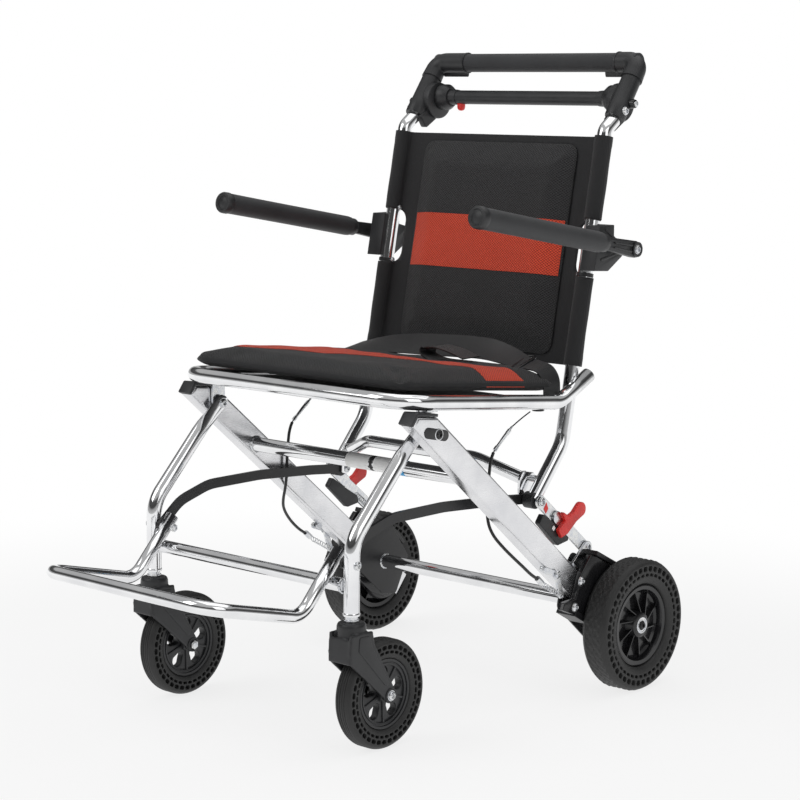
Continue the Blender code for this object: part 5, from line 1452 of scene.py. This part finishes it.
def build_armrest(side, sign):
    """The foam grip with its moulded end cap, the ribbed arm and the clamp on the post."""
    body = "armrest_" + side
    low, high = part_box("armrest_foam_" + side)
    x = (low.x + high.x) / 2
    front, rear = Vector((-0.072, 0.7265)), Vector((0.204, 0.6785))
    along = (front - rear).normalized()
    way = side_view(0.0, front) - side_view(0.0, rear)
    spots = [rear.lerp(front, share) for share in (0.0, 0.006, 0.03, 0.2, 0.5, 0.8, 0.955)]
    sizes = [0.0132, 0.0148, 0.0154, 0.0153, 0.0152, 0.0153, 0.0155]
    foam = sweep("grip_" + side, [side_view(x, spot) for spot in spots], sizes, FOAM, body, 40)
    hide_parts("armrest_foam_" + side)
    cap = [
        (0.0, -0.0005), (0.0060, -0.0005), (0.0085, -0.0016), (0.0105, -0.0016), (0.0120, 0.0004),
        (0.0150, 0.0), (0.0162, -0.0022), (0.0164, -0.0095), (0.0158, -0.0125), (0.0, -0.0125),
    ]
    cap_piece = lathe("grip_cap_" + side, cap, side_view(x, front), way, PLASTIC, body, 44)
    dress("armrest_arm_" + side, PLASTIC, 0.0014)
    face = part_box("armrest_arm_" + side)
    outer = sign * max(abs(face[0].x), abs(face[1].x))
    bolt("armrest_bolt_" + side, outer - sign * 0.0004, ARMREST_PIVOT, sign, 0.0066, body, 0.0034)
    ring = [
        (0.0078, -0.001), (0.0112, -0.001), (0.0112, 0.0010), (0.0104, 0.0016), (0.0086, 0.0016),
        (0.0078, 0.0008),
    ]
    lathe("armrest_ring_" + side, ring, side_view(outer, ARMREST_PIVOT), (sign, 0, 0), PLASTIC, body, 36)
    for n, lift in enumerate((0.0048, -0.0042)):
        start = ARMREST_PIVOT + along * 0.015 + across(along) * lift
        rib = capsule(start, start + along * 0.040 - across(along) * lift * 0.25, 0.0016, 0.0012, 6)
        plate(f"armrest_rib_{side}_{n}", [rib], outer, 0.0024, PLASTIC, body, 0.0007)
    collar = [(0.0, 0.0), (0.0128, 0.0), (0.0136, 0.0012), (0.0136, 0.0100), (0.0124, 0.0115), (0.0, 0.0115)]
    lathe("armrest_collar_" + side, collar, side_view(x, rear - along * 0.0100), way, PLASTIC, body, 36)
    dress("armrest_bracket_" + side, PLASTIC, 0.0014)
    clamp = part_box("armrest_bracket_" + side)
    outside = sign * max(abs(clamp[0].x), abs(clamp[1].x))
    for n, (start, end) in enumerate((((0.238, 0.650), (0.276, 0.657)), ((0.248, 0.694), (0.278, 0.674)))):
        plate(
            f"clamp_rib_{side}_{n}", [capsule(start, end, 0.0022, 0.0016, 6)], outside, 0.0026, PLASTIC,
            "back", 0.0008,
        )
    for n, height in enumerate((0.626, 0.709)):
        share = (height - BACK_FOOT[1]) / (BACK_HEAD[1] - BACK_FOOT[1])
        spot = BACK_FOOT.lerp(BACK_HEAD, share)
        band = [(TUBE, -0.003), (TUBE + 0.0016, -0.0024), (TUBE + 0.0016, 0.0024), (TUBE, 0.003)]
        lathe(
            f"clamp_band_{side}_{n}", band, side_view(sign * POST_X, spot),
            side_view(0, BACK_HEAD) - side_view(0, BACK_FOOT), COATED, "back", 36,
        )
        bolt(f"clamp_screw_{side}_{n}", sign * (POST_X - TUBE - 0.0015), spot, -sign, 0.0042, "back", 0.0026)


build_handle()
build_brake_bar()
for SIDE, SIGN in SIDES:
    build_sleeve(SIDE, SIGN)
    build_armrest(SIDE, SIGN)


# ----------------------------------------------------------------- soft goods

SEAT_UP = across(SEAT_SLOPE)
BACK_AHEAD = across(BACK_SLOPE)


def on_seat(x, along, height):
    """A place over the seat: back from the front tube's centre line and up from the tubes' plane."""
    return side_view(x, SEAT_FRONT + SEAT_SLOPE * along + SEAT_UP * height)


def on_back(x, up, ahead):
    """A place on the back: up the posts from their lower bends and ahead of their plane."""
    return side_view(x, BACK_FOOT + BACK_SLOPE * up + BACK_AHEAD * ahead)


SLING_LOW, SLING_HIGH = 0.4925, 0.8295
PAD_LOW, PAD_HIGH = 0.502, 0.820
OPENING = (0.622, 0.708)  # round each armrest's clamp
BAND = (0.621, 0.703)  # the orange panel of the back


def up_posts(height):
    """How far up the posts a height over the floor is."""
    return (height - BACK_FOOT[1]) / BACK_SLOPE[1]


def round_corner(a, b, half, corner):
    """Moves a place in a rectangle so that the rectangle's corners become round."""
    over_a, over_b = abs(a) - (half[0] - corner), abs(b) - (half[1] - corner)
    if over_a <= 0 or over_b <= 0:
        return a, b
    s, t = over_a / corner, over_b / corner
    out_a = half[0] - corner + corner * s * math.sqrt(1 - t * t / 2)
    out_b = half[1] - corner + corner * t * math.sqrt(1 - s * s / 2)
    return math.copysign(out_a, a), math.copysign(out_b, b)


def edge_distance(a, b, half, corner):
    """How far a place lies inside a rounded rectangle."""
    over_a, over_b = abs(a) - (half[0] - corner), abs(b) - (half[1] - corner)
    if over_a > 0 and over_b > 0:
        return corner - math.hypot(over_a, over_b)
    return min(half[0] - abs(a), half[1] - abs(b))


def pillow(name, place, half, corner, heights, cell, materials):
    """Two cloth panels sewn at their rim. heights gives the lower and the upper one's height at a place.

    It returns the piece, the points of its rim and those of its lower panel.
    """
    counts = [max(4, round(2 * side / cell)) for side in half]
    shape = bmesh.new()
    uv = shape.loops.layers.uv.new("cut")
    layers = ({}, {})
    flat = {}
    seam = []
    for i in range(counts[0] + 1):
        for j in range(counts[1] + 1):
            a = half[0] * (2 * i / counts[0] - 1)
            b = half[1] * (2 * j / counts[1] - 1)
            a, b = round_corner(a, b, half, corner)
            flat[i, j] = (a, b)
            rim = i in (0, counts[0]) or j in (0, counts[1])
            inside = 0.0 if rim else edge_distance(a, b, half, corner)
            low, high = heights(inside, a, b)
            upper = shape.verts.new(place(a, b, high))
            layers[0][i, j] = upper
            layers[1][i, j] = upper if rim else shape.verts.new(place(a, b, low))
            if rim:
                seam.append(upper)
    for index, layer in enumerate(layers):
        for i in range(counts[0]):
            for j in range(counts[1]):
                spots = [(i, j), (i + 1, j), (i + 1, j + 1), (i, j + 1)]
                face = shape.faces.new([layer[spot] for spot in spots])
                face.material_index = index
                for loop, spot in zip(face.loops, spots):
                    loop[uv].uv = flat[spot]
    shape.verts.index_update()
    rim_points = [vert.index for vert in seam]
    lower_points = [vert.index for key, vert in layers[1].items() if vert is not layers[0][key]]
    bmesh.ops.recalc_face_normals(shape, faces=shape.faces)
    mesh = bpy.data.meshes.new(name)
    shape.to_mesh(mesh)
    shape.free()
    made = bpy.data.objects.new(name, mesh)
    bpy.context.scene.collection.objects.link(made)
    for material in materials:
        mesh.materials.append(material)
    return made, rim_points, lower_points


def inflate(piece, held, rim, pressure, gather, limit, frames=20):
    """Lets the air in a sewn piece push its panels out, with its rim gathered, as far as a limit."""
    start = [vert.co.copy() for vert in piece.data.vertices]
    piece.vertex_groups.new(name="held").add(held, 1.0, "REPLACE")
    piece.vertex_groups.new(name="rim").add(rim, 1.0, "REPLACE")
    cloth = piece.modifiers.new("inflate", "CLOTH")
    cloth.settings.quality = 6
    cloth.settings.mass = 0.2
    cloth.settings.tension_stiffness = 14
    cloth.settings.compression_stiffness = 14
    cloth.settings.shear_stiffness = 5
    cloth.settings.bending_stiffness = 0.4
    cloth.settings.use_pressure = True
    cloth.settings.uniform_pressure_force = pressure
    cloth.settings.vertex_group_mass = "held"
    cloth.settings.vertex_group_shrink = "rim"
    cloth.settings.shrink_max = gather
    cloth.settings.effector_weights.gravity = 0.0
    cloth.point_cache.frame_start = 1
    cloth.point_cache.frame_end = frames
    for frame in range(1, frames + 1):
        bpy.context.scene.frame_set(frame)
    apply_all(piece)
    bpy.context.scene.frame_set(1)
    piece.vertex_groups.clear()
    for vert, old in zip(piece.data.vertices, start):
        move = vert.co - old
        if move.length > limit:
            vert.co = old + move.normalized() * limit
    finer = piece.modifiers.new("finer", "SUBSURF")
    finer.levels = finer.render_levels = 1
    apply_all(piece)
    piece.data.shade_smooth()


def sewn_patch(name, outline, place, target, material, cell=0.005, lift=0.0007):
    """A thin panel of another cloth sewn on to a pad, cut to an outline and lying on its surface."""
    shape = bmesh.new()
    shape.faces.new([shape.verts.new((a, b, 0.0)) for a, b in outline])
    bmesh.ops.triangulate(shape, faces=shape.faces[:])
    for axis in (0, 1):
        low = min(spot[axis] for spot in outline)
        high = max(spot[axis] for spot in outline)
        normal = Vector((axis == 0, axis == 1, 0))
        for n in range(1, int((high - low) / cell) + 1):
            spot = normal * (low + n * cell)
            bmesh.ops.bisect_plane(
                shape, geom=shape.verts[:] + shape.edges[:] + shape.faces[:], plane_co=spot, plane_no=normal
            )
    uv = shape.loops.layers.uv.new("cut")
    for face in shape.faces:
        for loop in face.loops:
            loop[uv].uv = loop.vert.co.xy
    surface = BVHTree.FromPolygons(
        [vert.co for vert in target.data.vertices], [list(face.vertices) for face in target.data.polygons]
    )
    up = (place(0, 0, 0.1) - place(0, 0, 0)).normalized()
    for vert in shape.verts:
        start = place(vert.co.x, vert.co.y, 0.12)
        hit = surface.ray_cast(start, -up)[0]
        if hit is None:
            hit = surface.find_nearest(place(vert.co.x, vert.co.y, 0.02))[0]
        vert.co = hit - up * 0.0012
    grown = bmesh.ops.extrude_face_region(shape, geom=shape.faces[:], use_keep_orig=True)
    for item in grown["geom"]:
        if isinstance(item, bmesh.types.BMVert):
            item.co += up * (0.0012 + lift)
    bmesh.ops.recalc_face_normals(shape, faces=shape.faces)
    mesh = bpy.data.meshes.new(name)
    shape.to_mesh(mesh)
    shape.free()
    mesh.shade_smooth()
    mesh.set_sharp_from_angle(angle=math.radians(50))
    mesh.materials.append(material)
    made = bpy.data.objects.new(name, mesh)
    bpy.context.scene.collection.objects.link(made)
    return made


def sew_together(pieces, name):
    """Joins panels into one piece that keeps each panel's own cloth."""
    for chosen in bpy.context.selected_objects:
        chosen.select_set(False)
    for piece in pieces:
        piece.select_set(True)
    bpy.context.view_layer.objects.active = pieces[0]
    bpy.ops.object.join()
    pieces[0].name = name
    return pieces[0]


def ribbon(name, spots, leans, width, thickness, material, body):
    """A flat strap along smooth points, each with the direction that its width lies in."""
    steps = 10
    route = smooth_route(spots, steps)
    rows = []
    for n in range(len(route)):
        share = n / (len(route) - 1) * (len(leans) - 1)
        first = min(int(share), len(leans) - 2)
        rows.append(leans[first].lerp(leans[first + 1], share - first))
    shape = bmesh.new()
    uv = shape.loops.layers.uv.new("cut")
    grid = []
    length = [0.0]
    for n, spot in enumerate(route):
        ahead = (route[min(n + 1, len(route) - 1)] - route[max(n - 1, 0)]).normalized()
        side = (rows[n] - ahead * rows[n].dot(ahead)).normalized()
        out = ahead.cross(side)
        section = []
        for k in range(7):
            across_it = width * (k / 6 - 0.5)
            section.append(shape.verts.new(spot + side * across_it + out * thickness / 2))
        for k in reversed(range(7)):
            across_it = width * (k / 6 - 0.5)
            section.append(shape.verts.new(spot + side * across_it - out * thickness / 2))
        grid.append(section)
        if n:
            length.append(length[-1] + (spot - route[n - 1]).length)
    size = len(grid[0])
    for n in range(len(grid) - 1):
        for k in range(size):
            other = (k + 1) % size
            face = shape.faces.new((grid[n][k], grid[n][other], grid[n + 1][other], grid[n + 1][k]))
            for loop, (row, column) in zip(face.loops, ((n, k), (n, other), (n + 1, other), (n + 1, k))):
                loop[uv].uv = (length[row], width * min(column, size - 1 - column) / 6)
    shape.faces.new(grid[0])
    shape.faces.new(grid[-1])
    made = from_bmesh(name, shape, material, body, 60)
    return made, length[-1]


def build_seat_soft():
    """The seat's sling and its stuffed cushion with the sewn-in swoosh, that the lap belt lies on."""
    low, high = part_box("seat_cushion")
    half = ((high.x - low.x) / 2 - 0.002, 0.178)
    middle = 0.1815

    def place(a, b, h):
        return on_seat(a, middle + b, h)

    def heights(inside, a, b):
        roll = 1 - (1 - min(inside / 0.034, 1.0)) ** 2.6
        wave = 0.0009 * math.sin(a * 61 + b * 23) * math.sin(b * 47 - a * 17)
        droop = 0.0012 * math.sin(a * 33) if inside == 0.0 else 0.0
        rim = 0.0235 + droop
        return rim - 0.0105 * roll, rim + (0.0150 + wave) * roll

    cushion, rim, lower = pillow(
        "seat_cushion_cover", place, half, 0.034, heights, 0.006, (MESH_BLACK, CLOTH)
    )
    inflate(cushion, lower, rim, pressure=4.0, gather=0.04, limit=0.007)
    upper_edge = [
        (-0.214, -0.090), (-0.216, 0.000), (-0.214, 0.070), (-0.190, 0.088), (-0.140, 0.086), (-0.080, 0.074),
        (-0.017, 0.064), (0.050, 0.060), (0.110, 0.062), (0.160, 0.074), (0.2135, 0.094),
    ]
    lower_edge = [
        (0.2135, 0.010), (0.190, 0.006), (0.150, 0.008), (0.100, 0.014), (0.050, 0.016), (0.010, 0.006),
        (-0.030, -0.022), (-0.070, -0.060), (-0.110, -0.092), (-0.160, -0.108), (-0.214, -0.104),
    ]
    swoosh = sewn_patch("swoosh", upper_edge + lower_edge, place, cushion, MESH_ORANGE)
    cushion = sew_together([cushion, swoosh], "seat_cushion_cover")
    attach(cushion, "seat")
    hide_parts("seat_cushion")
    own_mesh(cushion)

    box_low, box_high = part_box("seat_sling")
    sling_half = ((box_high.x - box_low.x) / 2 - 0.0004, 0.176)

    def thin(inside, _a, _b):
        sag = 0.0015 * min(inside / 0.06, 1.0)
        return (-0.0016 - sag, -sag) if inside else (-0.0008, -0.0008)

    sling, _, _ = pillow("seat_sling_cloth", place, sling_half, 0.046, thin, 0.012, (CLOTH, CLOTH))
    sling.data.shade_smooth()
    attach(sling, "seat")
    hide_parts("seat_sling")
    return cushion


def lean(angle):
    """The direction across the seat belt's width: 0 lies along the seat, 90 stands upright."""
    turn = math.radians(angle)
    spot = SEAT_SLOPE * math.cos(turn) + SEAT_UP * math.sin(turn)
    return Vector((0.0, spot[0], spot[1]))


def build_belt():
    """The lap belt: its webbing, given as (x, along, height, lean), its loose end and its slider."""
    strap = (
        (0.2110, 0.340, 0.0060, 12), (0.2085, 0.338, 0.0300, 12), (0.1980, 0.334, 0.0455, 14),
        (0.1800, 0.330, 0.0500, 18), (0.1600, 0.328, 0.0520, 24), (0.1300, 0.328, 0.0600, 40),
        (0.0900, 0.330, 0.0660, 54), (0.0400, 0.332, 0.0660, 62), (-0.0100, 0.332, 0.0640, 62),
        (-0.0600, 0.331, 0.0620, 56), (-0.1100, 0.330, 0.0580, 46), (-0.1600, 0.328, 0.0520, 26),
        (-0.1950, 0.330, 0.0455, 14), (-0.2085, 0.334, 0.0300, 12), (-0.2110, 0.338, 0.0060, 12),
    )
    spots = [on_seat(x, along, height) for x, along, height, _ in strap]
    belt, length = ribbon("lap_belt", spots, [lean(a) for *_, a in strap], 0.0375, 0.0016, WEBBING, "seat")
    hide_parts("seat_belt")
    tail = (
        (0.1600, 0.300, 0.0440, 8), (0.1200, 0.292, 0.0440, 8), (0.0800, 0.285, 0.0445, 8),
        (0.0400, 0.282, 0.0455, 6), (0.0180, 0.283, 0.0510, 4), (0.0140, 0.285, 0.0600, 4),
        (0.0330, 0.287, 0.0650, 6), (0.0650, 0.288, 0.0610, 8), (0.0950, 0.288, 0.0530, 8),
    )
    spots = [on_seat(x, along, height) for x, along, height, _ in tail]
    end, length = ribbon("lap_belt_end", spots, [lean(a) for *_, a in tail], 0.0370, 0.0016, WEBBING, "seat")
    width_way, up_way = lean(24), lean(114)
    centre = on_seat(0.1620, 0.328, 0.0515)
    corners = [
        centre + width_way * w + Vector((a, 0, 0)) + up_way * 0.0008
        for w, a in ((0.023, 0.0065), (-0.023, 0.0065), (-0.023, -0.0065), (0.023, -0.0065))
    ]
    middle = (corners[0] + corners[3]) / 2
    route = rounded_route(
        [middle, *corners[:3], corners[3], middle], (0.0, 0.003, 0.003, 0.003, 0.003, 0.0), 5
    )
    slider = sweep("belt_slider", route, 0.0021, GLOSS, "seat", 14)
    for piece in (belt, end, slider):
        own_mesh(piece)


def build_back_soft():
    """The back's sling, looped round both posts with openings for the armrests, and its stuffed pad."""
    low_up, high_up = up_posts(SLING_LOW), up_posts(SLING_HIGH)
    radius, behind, gap = 0.0133, -0.0067, 0.0009
    loop = []
    start, end = math.pi + math.asin((-behind - gap) / radius), -math.pi + math.asin((gap - behind) / radius)
    for sign in (1, -1):
        turns = [start + (end - start) * n / 30 for n in range(31)]
        arc = [(sign * (POST_X + radius * math.cos(t)), radius * math.sin(t)) for t in turns]
        loop += arc if sign > 0 else arc[::-1]
        lay = behind - gap if sign > 0 else behind + gap
        limit = POST_X - radius
        loop += [(sign * limit * (1 - 2 * n / 41), lay) for n in range(2, 40)]
    for _ in range(2):
        loop = [
            tuple((loop[n - 1][k] + 2 * loop[n][k] + loop[(n + 1) % len(loop)][k]) / 4 for k in (0, 1))
            for n in range(len(loop))
        ]
    loop = places(loop)
    around = [0.0]
    for n in range(1, len(loop) + 1):
        around.append(around[-1] + (loop[n % len(loop)] - loop[n - 1]).length)
    outward = []
    for n in range(len(loop)):
        ahead = (loop[(n + 1) % len(loop)] - loop[n - 1]).normalized()
        outward.append(-across(ahead))
    area = sum(loop[n - 1][0] * loop[n][1] - loop[n][0] * loop[n - 1][1] for n in range(len(loop)))
    turn = 1 if area > 0 else -1
    shape = bmesh.new()
    uv = shape.loops.layers.uv.new("cut")
    rows = 56
    skins = ([], [])
    for row in range(rows + 1):
        up = low_up + (high_up - low_up) * row / rows
        hem = 0.0004 if row < 3 or row > rows - 3 else 0.0
        for skin, offset in zip(skins, (0.0004 + hem, -0.0004)):
            line = []
            for n, spot in enumerate(loop):
                ripple = 0.00035 * math.sin(up * 71 + spot[0] * 40) * math.sin(up * 29 + n * 0.3)
                at = spot + outward[n] * turn * (offset + ripple)
                line.append(shape.verts.new(on_back(at[0], up, at[1])))
            skin.append(line)
    count = len(loop)
    for skin in skins:
        for row in range(rows):
            for n in range(count):
                other = (n + 1) % count
                face = shape.faces.new(
                    (skin[row][n], skin[row][other], skin[row + 1][other], skin[row + 1][n])
                )
                spots = ((row, n), (row, n + 1), (row + 1, n + 1), (row + 1, n))
                for corner, (level, place_n) in zip(face.loops, spots):
                    corner[uv].uv = (around[place_n], level * (high_up - low_up) / rows)
    for row in (0, rows):
        for n in range(count):
            other = (n + 1) % count
            shape.faces.new((skins[0][row][n], skins[0][row][other], skins[1][row][other], skins[1][row][n]))
    sling = from_bmesh("back_sling_cloth", shape, CLOTH, None, 50)
    for _side, sign in SIDES:
        ends = [up_posts(height) for height in OPENING]
        inner = sign * (POST_X - 0.025)
        outer = sign * (POST_X + 0.030)
        outline = rounded_loop(
            places(((inner, ends[0]), (inner, ends[1]), (outer, ends[1]), (outer, ends[0]))), 0.020, 8
        )
        tool = bmesh.new()
        near = [tool.verts.new(on_back(x, up, 0.05)) for x, up in outline]
        far = [tool.verts.new(on_back(x, up, -0.05)) for x, up in outline]
        tool.faces.new(near)
        tool.faces.new(far)
        for n in range(len(near)):
            other = (n + 1) % len(near)
            tool.faces.new((near[n], near[other], far[other], far[n]))
        cutter = from_bmesh("cutter", tool, CLOTH, None)
        cut = sling.modifiers.new("opening", "BOOLEAN")
        cut.operation = "DIFFERENCE"
        cut.solver = "EXACT"
        cut.object = cutter
        apply_all(sling)
        bpy.data.objects.remove(cutter)
    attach(sling, "back")
    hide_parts("back_sling")

    base, top = up_posts(PAD_LOW), up_posts(PAD_HIGH)
    middle = (base + top) / 2
    half = (0.1555, (top - base) / 2 - 0.001)

    def place(a, b, h):
        return on_back(a, middle + b, behind + gap + 0.0008 + h)

    def heights(inside, a, b):
        flange = min(inside / 0.010, 1.0)
        body = max(0.0, min((inside - 0.014) / 0.022, 1.0))
        full = 1 - (1 - body) ** 2.2
        wave = 0.0006 * math.sin(a * 57 + b * 31) * math.sin(b * 43)
        if inside == 0.0:
            return 0.0016, 0.0016
        return 0.0002, 0.0022 + 0.0016 * math.sin(flange * math.pi) + (0.0112 + wave) * full

    pad, rim, lower = pillow("back_pad_cover", place, half, 0.022, heights, 0.0055, (MESH_BLACK, CLOTH))
    inflate(pad, lower + rim, rim, pressure=3.0, gather=0.03, limit=0.004)
    edges = [up_posts(height) - middle for height in BAND]
    side = half[0] - 0.001
    band = [(-side, edges[0]), (side, edges[0]), (side, edges[1]), (-side, edges[1])]
    band_piece = sewn_patch("band", band, place, pad, MESH_ORANGE)
    pad = sew_together([pad, band_piece], "back_pad_cover")
    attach(pad, "back")
    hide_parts("back_pad")


CUSHION = build_seat_soft()
build_belt()
build_back_soft()
